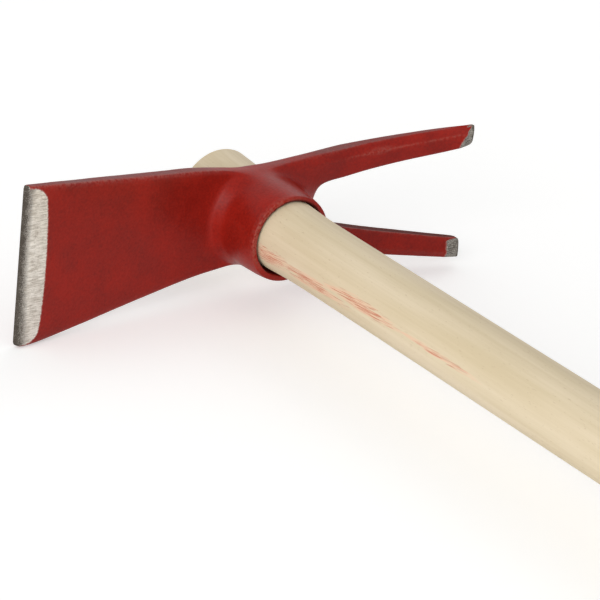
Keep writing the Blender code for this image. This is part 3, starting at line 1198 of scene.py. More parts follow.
    def painted_dark_reflection(self, points: np.ndarray) -> np.ndarray:
        """How much painted dark reflection the ground steel gets, from 0 on the bevel to 1 at the very
        edge.

        Args:
            points: Places as (reach, lift, height).

        Returns:
            One value for each point.
        """
        from_edge = (self.reach + points[:, 0]) / MM
        across = points[:, 2] / (self.edge_width / 2)
        reach = self.blunt_mm + self.blunt_corner_mm * np.abs(across - self.blunt_middle) ** 2
        return np.clip(1 - (from_edge - self.blunt_from_mm) / reach, 0, 1)


class TineSide(Enum):
    """Which of the two tines it is: the one that stands up, or the one that lies on the ground."""

    UPPER = 1
    LOWER = -1


class TineShape(NamedTuple):
    """What differs between the tines, as each was hammered out and ground by hand.

    The gap and the offset are measured from the head's middle plane, and the bow swings away from it. The
    outer drop is how far the outer front edge was hammered back. The grind runs up the inner and the outer
    side of the tip, and the inner cut is what it takes off that corner. The inner paint runs down over it.
    """

    root_half_gap: float
    tip_offset: float
    bow: float
    tip_width: float
    outer_drop: float
    grind_inner: float
    grind_outer: float
    inner_cut: float
    inner_paint_mm: float
    # Strength of the wear and painted highlight along the ridge.
    ridge_rub_and_highlight: float


TINE_SHAPES = {
    TineSide.UPPER: TineShape(
        root_half_gap=0.0094, tip_offset=0.0289, bow=0.0006, tip_width=0.0092, outer_drop=0.0028,
        grind_inner=0.0078, grind_outer=0.0016, inner_cut=0.0004, inner_paint_mm=0.0, ridge_rub_and_highlight=0.4,
    ),
    TineSide.LOWER: TineShape(
        root_half_gap=0.0107, tip_offset=0.0284, bow=0.0025, tip_width=0.0104, outer_drop=0.0004,
        grind_inner=0.0085, grind_outer=0.0080, inner_cut=0.0008, inner_paint_mm=9.0, ridge_rub_and_highlight=0.0,
    ),
}


@dataclass(frozen=True)
class Tine(Limb):
    """A tapering tine with a low ridge along its front, ground to a chisel at its tip.

    Its shares run from 0 at the root to 1 at the tip, and its rows from -1 at the inner side to 1 at the
    outer one, with the row of the ridge between them. Its columns are those of the bar for the upper tine.
    """

    collar: Collar
    reach: float
    side: TineSide
    shape: TineShape
    root_run: float = 0.0082
    widths: tuple[float, ...] = (0.0158, 0.0132, 0.0120, 0.0113)
    root_thickness: float = 0.0076
    tip_thickness: float = 0.0050
    tip_lift: float = 0.0143
    lift_power: float = 1.4
    ridge: float = 0.0012
    drop_run: float = 0.3
    tip_drop: float = 0.3
    bevel_depth: float = 0.0026
    bevel_ridge_share: float = 0.45
    ridge_row: int = 1
    # The least painted dark reflection on a ground tip, and the distance from the tip within which it is
    # full.
    dull: float = 0.76
    dull_mm: float = 1.0
    bare_end_mm: float = 4.0
    nick_mm: float = 0.9
    inner_paint_share: float = 0.2
    # Width of the ridge's wear and painted highlight, wider where the ridge is flat, and the stretch it
    # covers.
    ridge_wear_mm: float = 0.6
    ridge_flat_mm: float = 1.6
    ridge_flat_share: float = 0.35
    ridge_flat_spread: float = 0.10
    ridge_worn: tuple[float, float] = (0.15, 0.92)
    corners: tuple[Sharpness, Sharpness] = (Sharpness.EASED, Sharpness.WORN)
    shares: tuple[float, ...] = (0.0, 0.22, 0.46, 0.70)
    rows: tuple[float, ...] = (1.0, 0.42, -1.0)
    columns: tuple[int, ...] = (3, 2, 1)

    @property
    def root_reach(self) -> float:
        """Reach of the first cross-section of the tine."""
        return self.collar.crotch_reach + self.root_run

    def offset(self, share: np.ndarray | float) -> np.ndarray | float:
        """Distance of the tine's middle line from the head's middle plane."""
        root = self.shape.root_half_gap + self.widths[0] / 2
        return between(root, self.shape.tip_offset, share) + self.shape.bow * share * (1 - share)

    def width(self, share: np.ndarray | float) -> np.ndarray | float:
        """The tine's width at a share of its length."""
        return np.interp(share, (*self.shares, 1.0), (*self.widths, self.shape.tip_width))

    def cut(
        self,
        cage: Cage,
        share: float,
        shifts: Place = (0.0, 0.0, 0.0),
        grind: float = 0.0,
        end: bool = False,
    ) -> Section:
        """A cross-section of the tine.

        Args:
            cage: The cage to build in.
            share: Where it lies.
            shifts: How far its outer edge, its ridge and its inner edge run ahead towards the tip.
            grind: What grinding takes off its front.
            end: Whether the tine ends here.

        Returns:
            The rows of the section.
        """
        reach = between(self.root_reach, self.reach, share)
        width = self.width(share)
        thickness = between(self.root_thickness, self.tip_thickness, share)
        lift = between(-self.collar.bar_sink, self.tip_lift, share ** self.lift_power)
        drop = self.shape.outer_drop * (self.tip_drop if end else min(share / self.drop_run, 1.0))
        rises = (-drop, 0.0 if end else self.ridge, 0.0)
        fronts = []
        backs = []
        for across, rise, shift in zip(self.rows, rises, shifts):
            height = self.side.value * (self.offset(share) + width / 2 * across)
            fronts.append((reach + shift, lift + thickness / 2 + rise - grind, height))
            backs.append((reach + min(shift, 0.0), lift - thickness / 2, height))
        return self.section(cage, fronts, backs, end)

    def build(self, cage: Cage, bar: Section) -> None:
        """Skins the tine from the bar to its tip, and creases its ridge.

        Args:
            cage: The cage to build in.
            bar: The rings of the bar that it grows from.
        """
        mirrored = tuple(self.side.value * column for column in self.columns)
        grind_start = 1 - self.shape.grind_inner / (self.reach - self.root_reach)
        outer_ahead = self.shape.grind_inner - self.shape.grind_outer
        ahead = (outer_ahead, self.bevel_ridge_share * outer_ahead, 0.0)
        short = (0.0, 0.0, -self.shape.inner_cut)
        sections = [self.root(bar, mirrored)]
        sections.extend(self.cut(cage, share) for share in self.shares)
        sections.append(self.cut(cage, grind_start, shifts=ahead))
        sections.append(self.cut(cage, 1.0, shifts=short, grind=self.bevel_depth, end=True))
        self.skin(cage, sections, Sharpness.DIE_RADIUS)
        cage.sharpen([s.front[self.ridge_row] for s in sections[:-1]], Sharpness.EASED)

    def along(self, points: np.ndarray) -> np.ndarray:
        """Where each point lies along the tine, from 0 at its root to 1 at its tip."""
        return (points[:, 0] - self.root_reach) / (self.reach - self.root_reach)

    def across(self, points: np.ndarray) -> np.ndarray:
        """Where each point lies across the tine, from -1 at its inner to 1 at its outer side."""
        share = np.clip(self.along(points), 0, 1)
        return (self.side.value * points[:, 2] - self.offset(share)) / (self.width(share) / 2)

    def bare(self, points: np.ndarray, normals: np.ndarray) -> np.ndarray:
        """How far each point lies inside the ground steel of the tip, in millimetres.

        Args:
            points: Places as (reach, lift, height).
            normals: The surface's normals, in the same axes.

        Returns:
            Distances, negative on paint.
        """
        from_tip = (self.reach - points[:, 0]) / MM
        outward = np.clip((self.across(points) + 1) / 2, 0, 1)
        line = between(self.shape.grind_inner, self.shape.grind_outer, outward ** 2) / MM
        line -= self.shape.inner_paint_mm * np.clip(1 - outward / self.inner_paint_share, 0, 1) ** 2
        mine = self.side.value * points[:, 2] > 0
        front = (normals[:, 1] > FRONT_FACING) & mine
        end = (normals[:, 0] > END_FACING) & (from_tip < self.bare_end_mm) & mine
        nicked = np.where(mine, self.nick_mm - from_tip, ALL_PAINTED_MM)
        return np.where(end, ALL_BARE_MM, np.where(front, line - from_tip, nicked))

    def painted_dark_reflection(self, points: np.ndarray) -> np.ndarray:
        """How much painted dark reflection the ground steel of the tip gets, from dull to 1 at the very
        tip.

        Args:
            points: Places as (reach, lift, height).

        Returns:
            One value for each point, 0 off this tine.
        """
        from_tip = (self.reach - points[:, 0]) / MM
        mine = (self.side.value * points[:, 2] > 0) & (points[:, 0] > 0)
        dullness = np.clip(1.0 - (from_tip - self.dull_mm) / self.dull_mm, self.dull, 1.0)
        return np.where(mine, dullness, 0.0)

    def ridge_wear_and_highlight(self, points: np.ndarray, normals: np.ndarray) -> np.ndarray:
        """How much wear and painted highlight the ridge along the front gets at each point, over a wider
        strip where it is flat.

        Args:
            points: Places as (reach, lift, height).
            normals: The surface's normals, in the same axes.

        Returns:
            One value for each point, from 0 to the strength set for this tine.
        """
        share = self.along(points)
        away = np.abs(self.across(points) - self.rows[self.ridge_row]) * self.width(share) / 2 / MM
        flat = self.ridge_flat_mm * np.exp(-((share - self.ridge_flat_share) / self.ridge_flat_spread) ** 2)
        near = self.shape.ridge_rub_and_highlight * np.clip(1 - away / (self.ridge_wear_mm + flat), 0, 1)
        first, last = self.ridge_worn
        here = (share > first) & (share < last) & (normals[:, 1] > FRONT_FACING)
        return np.where(here, near, 0.0)


@dataclass(frozen=True)
class RimRubAndHighlight:
    """Where the face around the mouth of the eye is worn and carries a painted highlight: most towards the
    blade, and least low down.

    The middle and the reach of the mark are in walls of the mouth, and the slopes run over its radius.
    """

    strength: float = 0.55
    middle: float = 0.7
    reach: float = 1.3
    blade_start: float = 0.4
    blade_slope: float = 0.8
    upper_start: float = 1.2
    upper_slope: float = 1.3

    def wear(self, collar: Collar, points: np.ndarray, normals: np.ndarray) -> np.ndarray:
        """How much wear and painted highlight each point gets.

        Args:
            collar: The collar around the mouth.
            points: Places as (reach, lift, height).
            normals: The surface's normals, in the same axes.

        Returns:
            One value for each point, from 0 to its strength.
        """
        mouth = collar.eye_radius(collar.mouth_lift)
        wall = collar.mouth_wall
        off_centre = np.hypot(points[:, 0], points[:, 2])
        near = np.clip(self.reach - np.abs(off_centre - mouth - self.middle * wall) / wall, 0, 1)
        facing = np.clip(normals[:, 1] / FRONT_FACING, 0, 1) * (points[:, 1] > collar.mouth_lift - wall)
        to_blade = np.clip(self.blade_start - self.blade_slope * points[:, 0] / mouth, 0, 1)
        above = np.clip(self.upper_start + self.upper_slope * points[:, 2] / mouth, 0, 1)
        return self.strength * near * facing * to_blade * above


@dataclass(frozen=True)
class EdgeWearAndHighlight:
    """Wear and painted highlight on outer edges, found from the curvature of the mesh, which is given
    per metre.
    """

    worn_curvature: float = 800.0
    shortest_edge_mm: float = 0.1
    spread: int = 2

    def wear(self, mesh: bpy.types.Mesh, points: np.ndarray, normals: np.ndarray) -> np.ndarray:
        """How much wear and painted highlight each point gets, from 0 on flats and hollows to 1 on outer
        edges.

        Args:
            mesh: The head's mesh.
            points: Its vertices.
            normals: Their normals.

        Returns:
            One value for each vertex.
        """
        ends = np.zeros(len(mesh.edges) * 2, np.int64)
        mesh.edges.foreach_get("vertices", ends)
        start, end = ends.reshape(-1, 2).T
        step = points[start] - points[end]
        length = np.maximum((step ** 2).sum(axis=1), (self.shortest_edge_mm * MM) ** 2)
        count = np.maximum(np.bincount(ends, minlength=len(points)), 1)
        bend = np.zeros(len(points))
        for here, sign in ((start, 1), (end, -1)):
            rise = 2 * sign * (normals[here] * step).sum(axis=1) / length
            bend += np.bincount(here, weights=rise, minlength=len(points))
        worn = np.clip(bend / count / self.worn_curvature, 0, 1)
        for _ in range(self.spread):
            around = np.bincount(start, weights=worn[end], minlength=len(points))
            around += np.bincount(end, weights=worn[start], minlength=len(points))
            worn = (worn + around / count) / 2
        return worn


@dataclass(frozen=True)
class PaintedSideShade:
    """Painted shade on the forging: on its sides, in the gap of the fork and inside the eye.

    The side and gap shades say how much browner it is painted there. A face counts as a side where its
    normal leans to the front by less than lean, and fully so when less by lean_run. The fade leaves out
    what lies beside the eye.
    """

    side_shade: float = 0.4
    gap_shade: float = 0.9
    fade: float = 0.015
    lean: float = 0.35
    lean_run: float = 0.3

    def coat(self, collar: Collar, points: np.ndarray, normals: np.ndarray) -> np.ndarray:
        """How much painted shade each point gets, from 0 to the shade set for its place.

        Args:
            collar: The collar that the limbs grow from.
            points: Places as (reach, lift, height).
            normals: The surface's normals, in the same axes.

        Returns:
            One value for each point.
        """
        off_axis = np.clip((np.abs(points[:, 0]) - collar.bar_radius) / self.fade, 0, 1)
        in_gap = (points[:, 0] > collar.bar_radius) & (normals[:, 2] * points[:, 2] < 0)
        gap_shade = between(self.side_shade, self.gap_shade, np.abs(normals[:, 2]))
        # Shade is painted on faces that lean away from the front, most in the gap of the fork.
        leaning = np.clip((self.lean - normals[:, 1]) / self.lean_run, 0, 1)
        side = leaning * off_axis * np.where(in_gap, gap_shade, self.side_shade)
        # The whole inside of the eye gets the fork gap's painted shade.
        off_centre = np.hypot(points[:, 0], points[:, 2])
        in_eye = off_centre < collar.eye_radius(collar.mouth_lift) + collar.rim_chamfer
        return np.where(in_eye, self.gap_shade, side)


@dataclass(frozen=True)
class ForgedHead:
    """The head: one forging with an eye, a blade and a fork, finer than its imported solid."""

    site: ToolSite
    cone: HandleCone
    # Wear and painted highlight on the rim of the eye and on outer edges.
    rim_rub_and_highlight: RimRubAndHighlight = RimRubAndHighlight()
    edge_wear_and_highlight: EdgeWearAndHighlight = EdgeWearAndHighlight()
    # Painted shade on the sides, in the gap of the fork and inside the eye.
    painted_side_shade: PaintedSideShade = PaintedSideShade()
    skin_levels: int = 4
    sharp_angle: float = 38.0
    lump_mm: float = 14.0
    lump_depth_mm: float = 0.18
    dimple_mm: float = 3.5
    dimple_depth_mm: float = 0.05
    uneven_detail: float = 1.0
    ground_margin_mm: float = 2.0
    # How much of the edges' wear and painted highlight shows on the tines and on the collar.
    tine_wear_and_highlight: float = 0.4
    collar_wear_and_highlight: float = 0.1
    lip: float = 0.0008

    @property
    def collar(self) -> Collar:
        """The eye and the collar."""
        return Collar(self.cone, mouth_lift=self.site.collar_lift + self.lip, back_lift=self.site.back_lift)

    @property
    def blade(self) -> Blade:
        """The blade."""
        return Blade(self.collar, self.site.blade_reach)

    @property
    def tines(self) -> list[Tine]:
        """The two tines of the fork."""
        return [Tine(self.collar, self.site.tine_reach, side, shape) for side, shape in TINE_SHAPES.items()]

    def build(self, finish: PaintedForging) -> bpy.types.Object:
        """Builds and dresses the head.

        Args:
            finish: Its paint and ground steel.

        Returns:
            The finished piece, at the origin, with its place in its mesh.
        """
        cage = Cage()
        bar = self.collar.build(cage)
        for limb in (self.blade, *self.tines):
            limb.build(cage, bar)
        bmesh.ops.recalc_face_normals(cage.shape, faces=cage.shape.faces)
        head = object_from("painted_head", cage.shape)
        bore = object_from("eye_bore", self.collar.bore())
        skin = head.modifiers.new("forged_skin", "SUBSURF")
        skin.levels = skin.render_levels = self.skin_levels
        eye = head.modifiers.new("eye", "BOOLEAN")
        eye.object = bore
        eye.solver = "EXACT"
        keep_result(head)
        bpy.data.objects.remove(bore)
        self._mark(head.data)
        head.data.transform(Matrix.Translation(self.site.eye))
        sizes = self._sizes()
        grow(head, self._uneven_tree(sizes), {**sizes, "Material": finish.material()})
        head.data.set_sharp_from_angle(angle=math.radians(self.sharp_angle))
        return head

    def _mark(self, mesh: bpy.types.Mesh) -> None:
        """Writes the attributes that the finish reads: bare_mm, blunt, edge and side.

        Args:
            mesh: The head's mesh, with the middle of the eye at its origin.
        """
        to_head = np.array(((1, 0, 0), (0, -1, 0), (0, 0, 1)), float)
        points = vectors(mesh.vertices, "co") @ to_head
        normals = vectors(mesh.vertices, "normal") @ to_head
        limbs = (self.blade, *self.tines)
        # Wear and painted highlight from the ridges, the outer edges and the rim, gathered in the attribute
        # edge.
        wear = [tine.ridge_wear_and_highlight(points, normals) for tine in self.tines]
        wear.append(self.edge_wear_and_highlight.wear(mesh, points, normals) * self._exposed(points))
        wear.append(self.rim_rub_and_highlight.wear(self.collar, points, normals))
        write_attribute(mesh, "bare_mm", np.max([limb.bare(points, normals) for limb in limbs], axis=0))
        # Painted dark reflection on the ground steel of the edge and the tips.
        write_attribute(mesh, "painted_dark_reflection", np.max([limb.painted_dark_reflection(points) for limb in limbs], axis=0))
        write_attribute(mesh, "edge", np.max(wear, axis=0))
        # The attribute side holds the painted shade of the sides, the gap of the fork and the inside of the
        # eye.
        write_attribute(mesh, "side", self.painted_side_shade.coat(self.collar, points, normals))

    def _exposed(self, points: np.ndarray) -> np.ndarray:
        """How much of an edge's wear and painted highlight shows: all on the blade, less on the collar and
        the tines.

        Args:
            points: Places as (reach, lift, height).

        Returns:
            One value for each point.
        """
        off_centre = np.hypot(points[:, 0], points[:, 2])
        beside_blade = np.where(off_centre < self.collar.crotch_reach, self.collar_wear_and_highlight, self.tine_wear_and_highlight)
        return np.where(points[:, 0] < -self.collar.bar_radius, 1.0, beside_blade)

    def _sizes(self) -> dict[str, float]:
        """Names the sizes of the uneven forging.

        Returns:
            The size for each input of its tree.
        """
        return {
            "Lump Size": self.lump_mm, "Lump Depth": self.lump_depth_mm,
            "Dimple Size": self.dimple_mm, "Dimple Depth": self.dimple_depth_mm,
            "Ground Margin": self.ground_margin_mm,
        }

    def _uneven_tree(self, sizes: Iterable[str]) -> bpy.types.NodeTree:
        """A geometry tree that leaves the forging slightly uneven, and keeps what is ground flat.

        Args:
            sizes: The names of its sizes.

        Returns:
            The tree.
        """
        tree = bpy.data.node_groups.new("uneven_forging", "GeometryNodeTree")
        given = tree_inputs(tree, sizes, takes_mesh=True)
        inside = add_node(tree, "GeometryNodeInputNamedAttribute", {"Name": "bare_mm"}, data_type="FLOAT")
        above = add_node(tree, "ShaderNodeMath", {0: inside, 1: -1.0}, operation="MULTIPLY")
        painted = add_node(tree, "ShaderNodeMapRange", {
            "Value": above, "From Min": 0.0, "From Max": given["Ground Margin"],
        })
        position = add_node(tree, "GeometryNodeInputPosition")
        depths = []
        for kind in ("Lump", "Dimple"):
            scale = add_node(tree, "ShaderNodeMath", {
                0: 1 / MM, 1: given[f"{kind} Size"],
            }, operation="DIVIDE")
            pattern = add_node(tree, "ShaderNodeTexNoise", {
                "Vector": position, "Scale": scale, "Detail": self.uneven_detail,
            })
            depths.append(add_node(tree, "ShaderNodeMath", {
                0: pattern, 1: given[f"{kind} Depth"],
            }, operation="MULTIPLY"))
        depth = add_node(tree, "ShaderNodeMath", {0: depths[0], 1: depths[1]}, operation="ADD")
        inward = add_node(tree, "ShaderNodeMath", {0: depth, 1: -MM}, operation="MULTIPLY")
        kept = add_node(tree, "ShaderNodeMath", {0: inward, 1: painted}, operation="MULTIPLY")
        offset = add_node(tree, "ShaderNodeVectorMath", {
            0: add_node(tree, "GeometryNodeInputNormal"), "Scale": kept,
        }, operation="SCALE")
        moved = add_node(tree, "GeometryNodeSetPosition", {"Geometry": given["Geometry"], "Offset": offset})
        finish_tree(tree, moved, given["Material"])
        return tree


@dataclass(frozen=True)
class TurnedHandle:
    """The handle: a straight shaft that widens in a cone to its top end, with a rounded grip end.

    Sanding leaves it with long shallow flats, the ripple.
    """

    site: ToolSite
    cone: HandleCone
    top_chamfer: float = 0.0020
    grip_round: float = 0.0120
    grip_flat_radius: float = 0.0070
    rings: int = 420
    sides: int = 96
    sharp_angle: float = 40.0
    ripple_wide_mm: float = 11.0
    ripple_long_mm: float = 160.0
    ripple_depth_mm: float = 0.22
    ripple_detail: float = 1.0
    sawn_depth: float = 0.0003

    def build(self, finish: SandedBeech) -> bpy.types.Object:
        """Builds and dresses the handle.

        Args:
            finish: Its wood.

        Returns:
            The finished piece, at the origin, with its place in its mesh.
        """
        handle = object_from("beech_handle", bmesh.new())
        sizes = self._sizes()
        grow(handle, self._tree(sizes), {**sizes, "Material": finish.material()})
        along = vectors(handle.data.vertices, "co")[:, 1]
        sawn = np.minimum(along - along.min(), along.max() - along) < self.sawn_depth
        write_attribute(handle.data, "sawn_end", np.where(sawn, 1.0, 0.0))
        handle.data.transform(Matrix.Translation(self.site.eye + place(0, self.cone.top_lift, 0)))
        handle.data.set_sharp_from_angle(angle=math.radians(self.sharp_angle))
        return handle

    def _sizes(self) -> dict[str, float]:
        """Names the sizes of the turned handle.

        Returns:
            The size for each input of its tree.
        """
        return {
            "Length": self.site.handle_length, "Shaft Radius": self.cone.shaft_radius,
            "Top Radius": self.cone.top_radius, "Cone Length": self.cone.length,
            "Cone Run Out": self.cone.run_out, "Top Chamfer": self.top_chamfer,
            "Grip Round": self.grip_round, "Grip Flat Radius": self.grip_flat_radius,
            "Ripple Depth": self.ripple_depth_mm * MM,
        }

    def _tree(self, sizes: Iterable[str]) -> bpy.types.NodeTree:
        """A geometry tree that turns the profile around the handle's axis, which starts at its top end.

        Args:
            sizes: The names of its sizes.

        Returns:
            The tree.
        """
        tree = bpy.data.node_groups.new("turned_handle", "GeometryNodeTree")
        given = tree_inputs(tree, sizes, takes_mesh=False)
        depth = self._depth(tree, given["Length"])
        along = add_node(tree, "ShaderNodeCombineXYZ", {
            "Y": add_node(tree, "ShaderNodeMath", {0: depth, 1: -1.0}, operation="MULTIPLY"),
        })
        line = add_node(tree, "GeometryNodeMeshLine", {"Count": self.rings})
        axis = add_node(tree, "GeometryNodeSetPosition", {
            "Geometry": add_node(tree, "GeometryNodeMeshToCurve", {"Mesh": line}), "Position": along,
        })
        round_profile = add_node(tree, "GeometryNodeCurvePrimitiveCircle", {
            "Resolution": self.sides, "Radius": 1.0,
        }, mode="RADIUS")
        turned = add_node(tree, "GeometryNodeCurveToMesh", {
            "Curve": axis, "Profile Curve": round_profile, "Scale": self._radius(tree, given, depth),
            "Fill Caps": True,
        })
        sanded = add_node(tree, "GeometryNodeSetPosition", {
            "Geometry": turned, "Offset": self._ripple(tree, given["Ripple Depth"]),
        })
        finish_tree(tree, sanded, given["Material"])
        return tree

    def _depth(self, tree: bpy.types.NodeTree, length: bpy.types.NodeSocket) -> bpy.types.NodeSocket:
        """Spaces the rings, which crowd towards both ends, where the profile curves.

        Args:
            tree: The tree.
            length: The handle's length.

        Returns:
            Depth of each ring below the top end.
        """
        index = add_node(tree, "GeometryNodeInputIndex")
        turn = add_node(tree, "ShaderNodeMath", {
            0: index, 1: math.pi / (self.rings - 1),
        }, operation="MULTIPLY")
        swing = add_node(tree, "ShaderNodeMath", {0: turn}, operation="COSINE")
        return add_node(tree, "ShaderNodeMapRange", {
            "Value": swing, "From Min": 1.0, "From Max": -1.0, "To Min": 0.0, "To Max": length,
        })

    def _radius(
        self,
        tree: bpy.types.NodeTree,
        given: dict[str, bpy.types.NodeSocket],
        depth: bpy.types.NodeSocket,
    ) -> bpy.types.NodeSocket:
        """Radius of each ring: the cone, less the chamfer of the top end and the round of the grip end.

        Args:
            tree: The tree.
            given: The tree's sizes, by name.
            depth: Depth of each ring below the top end.

        Returns:
            The radius.
        """
        flare = add_node(tree, "ShaderNodeMath", {
            0: given["Top Radius"], 1: given["Shaft Radius"],
        }, operation="SUBTRACT")
        over = add_node(tree, "ShaderNodeMapRange", {
            "Value": depth, "From Max": given["Cone Length"], "To Min": flare, "To Max": 0.0,
        }, clamp=False)
        over_squared = add_node(tree, "ShaderNodeMath", {0: over, 1: over}, operation="MULTIPLY")
        run_out = add_node(tree, "ShaderNodeMath", {0: given["Cone Run Out"], 1: 2.0}, operation="MULTIPLY")
        both_squared = add_node(tree, "ShaderNodeMath", {
            0: run_out, 1: run_out, 2: over_squared,
        }, operation="MULTIPLY_ADD")
        root = add_node(tree, "ShaderNodeMath", {0: both_squared}, operation="SQRT")
        doubled = add_node(tree, "ShaderNodeMath", {0: over, 1: root}, operation="ADD")
        cone = add_node(tree, "ShaderNodeMath", {
            0: doubled, 1: 0.5, 2: given["Shaft Radius"],
        }, operation="MULTIPLY_ADD")
        chamfer = add_node(tree, "ShaderNodeMapRange", {
            "Value": depth, "From Max": given["Top Chamfer"], "To Min": given["Top Chamfer"], "To Max": 0.0,
        })
        from_grip = add_node(tree, "ShaderNodeMath", {0: given["Length"], 1: depth}, operation="SUBTRACT")
        into_round = add_node(tree, "ShaderNodeMapRange", {
            "Value": from_grip, "From Max": given["Grip Round"], "To Min": 1.0, "To Max": 0.0,
        })
        squared = add_node(tree, "ShaderNodeMath", {0: into_round, 1: into_round}, operation="MULTIPLY")
        rest = add_node(tree, "ShaderNodeMath", {0: 1.0, 1: squared}, operation="SUBTRACT")
        arc = add_node(tree, "ShaderNodeMath", {0: rest}, operation="SQRT")
        drop = add_node(tree, "ShaderNodeMath", {
            0: given["Shaft Radius"], 1: given["Grip Flat Radius"],
        }, operation="SUBTRACT")
        rounded = add_node(tree, "ShaderNodeMapRange", {"Value": arc, "To Min": drop, "To Max": 0.0})
        taken = add_node(tree, "ShaderNodeMath", {0: chamfer, 1: rounded}, operation="ADD")
        return add_node(tree, "ShaderNodeMath", {0: cone, 1: taken}, operation="SUBTRACT")

    def _ripple(self, tree: bpy.types.NodeTree, ripple_depth: bpy.types.NodeSocket) -> bpy.types.NodeSocket:
        """Finds what sanding along the handle takes off, in long shallow flats.

        Args:
            tree: The tree.
            ripple_depth: How much it takes off where it takes most.

        Returns:
            How far each point moves, as a vector.
        """
        position = add_node(tree, "GeometryNodeInputPosition")
        across = per_mm(self.ripple_wide_mm)
        drawn = add_node(tree, "ShaderNodeVectorMath", {
            0: position, 1: (across, per_mm(self.ripple_long_mm), across),
        }, operation="MULTIPLY")
        pattern = add_node(tree, "ShaderNodeTexNoise", {
            "Vector": drawn, "Scale": 1.0, "Detail": self.ripple_detail,
        })
        deep = add_node(tree, "ShaderNodeMath", {0: pattern, 1: ripple_depth}, operation="MULTIPLY")
        inward = add_node(tree, "ShaderNodeMath", {0: deep, 1: -1.0}, operation="MULTIPLY")
        return add_node(tree, "ShaderNodeVectorMath", {
            0: add_node(tree, "GeometryNodeInputNormal"), "Scale": inward,
        }, operation="SCALE")


def vectors(items: bpy.types.bpy_prop_collection, name: str) -> np.ndarray:
    """Reads a three-part property of each item.

    Args:
        items: Vertices, for instance.
        name: The property, such as co.

    Returns:
        An array with one row for each item.
    """
    flat = np.zeros(len(items) * 3)
    items.foreach_get(name, flat)
    return flat.reshape(-1, 3)


def write_attribute(mesh: bpy.types.Mesh, name: str, values: np.ndarray) -> None:
    """Stores one number for each vertex of a mesh."""
    attribute = mesh.attributes.new(name, "FLOAT", "POINT")
    attribute.data.foreach_set("value", values.astype(np.float32))


def object_from(name: str, shape: bmesh.types.BMesh) -> bpy.types.Object:
    """Turns a bmesh into a smooth-shaded object at the origin.

    Args:
        name: The object's name.
        shape: The bmesh, which is freed.

    Returns:
        The object, linked to the scene.
    """
    mesh = bpy.data.meshes.new(name)
    shape.to_mesh(mesh)
    shape.free()
    mesh.shade_smooth()
    made = bpy.data.objects.new(name, mesh)
    bpy.context.scene.collection.objects.link(made)
    return made


def keep_result(made: bpy.types.Object) -> None:
    """Replaces an object's mesh with what its modifiers make of it, and removes them.

    Args:
        made: The object.
    """
    depsgraph = bpy.context.evaluated_depsgraph_get()
    result = bpy.data.meshes.new_from_object(made.evaluated_get(depsgraph), depsgraph=depsgraph)
    made.modifiers.clear()
    made.data = result


def tree_inputs(
    tree: bpy.types.NodeTree,
    sizes: Iterable[str],
    takes_mesh: bool,
) -> dict[str, bpy.types.NodeSocket]:
    """Gives a geometry tree its named inputs, the last of which is its material, and its output.

    Args:
        tree: The tree.
        sizes: The name of each size.
        takes_mesh: Whether it changes a mesh that it is given.

    Returns:
        The socket that each input comes in by.
    """
    kinds = {"Geometry": "NodeSocketGeometry"} if takes_mesh else {}
    kinds.update((name, "NodeSocketFloat") for name in sizes)
    kinds["Material"] = "NodeSocketMaterial"
    for name, kind in kinds.items():
        tree.interface.new_socket(name, in_out="INPUT", socket_type=kind)
    tree.interface.new_socket("Geometry", in_out="OUTPUT", socket_type="NodeSocketGeometry")
    given = add_node(tree, "NodeGroupInput").node.outputs
    return {socket.name: socket for socket in given if socket.name}


def finish_tree(
    tree: bpy.types.NodeTree,
    shape: bpy.types.NodeSocket,
    material: bpy.types.NodeSocket,
) -> None:
    """Ends a geometry tree: smooth shading, real geometry and its material.

    Args:
        tree: The tree.
        shape: The geometry that it makes.
        material: The input that its material comes in by.
    """
    smooth = add_node(tree, "GeometryNodeSetShadeSmooth", {"Geometry": shape})
    real = add_node(tree, "GeometryNodeRealizeInstances", {"Geometry": smooth})
    dressed = add_node(tree, "GeometryNodeSetMaterial", {"Geometry": real, "Material": material})
    add_node(tree, "NodeGroupOutput", {"Geometry": dressed})


def grow(made: bpy.types.Object, tree: bpy.types.NodeTree, values: dict[str, Any]) -> None:
    """Runs a geometry tree on an object and keeps the result as its mesh.

    Args:
        made: The object.
        tree: The geometry tree.
        values: Its material and its sizes, by name.
    """
    modifier = made.modifiers.new(tree.name, "NODES")
    modifier.node_group = tree
    for item in tree.interface.items_tree:
        if item.in_out == "INPUT" and item.name in values:
            modifier[item.identifier] = values[item.name]
    keep_result(made)


@dataclass(frozen=True)
class SoftBox:
    """A square studio lamp that faces the tool."""

    name: str
    azimuth: float
    elevation: float
    distance: float
    size: float
    watts: float

    def build(self, aim: Vector) -> None:
        """Places the lamp around the point that it faces.

        Args:
            aim: That point.
        """
        lamp = bpy.data.lights.new(self.name, "AREA")
        lamp.shape = "SQUARE"
        lamp.size = self.size
        lamp.energy = self.watts
        made = bpy.data.objects.new(self.name, lamp)
        bpy.context.scene.collection.objects.link(made)
        made.matrix_world = orbit(aim, self.azimuth, self.elevation, 0.0, self.distance)


@dataclass(frozen=True)
class Viewpoint:
    """The photograph's viewing angle, as an orbit around a point beside the eye."""

    aim: Vector
    azimuth: float = -38.2742
    elevation: float = 23.8752
    roll: float = 6.4735
    distance: float = 1.3242
    lens_mm: float = 174.94
    sensor_mm: float = 36.0

    def build(self) -> None:
        """Makes the camera of the scene."""
        lens = bpy.data.cameras.new("studio_camera")
        lens.lens = self.lens_mm
        lens.sensor_width = self.sensor_mm
        camera = bpy.data.objects.new("studio_camera", lens)
        bpy.context.scene.collection.objects.link(camera)
        camera.matrix_world = orbit(self.aim, self.azimuth, self.elevation, self.roll, self.distance)
        bpy.context.scene.camera = camera


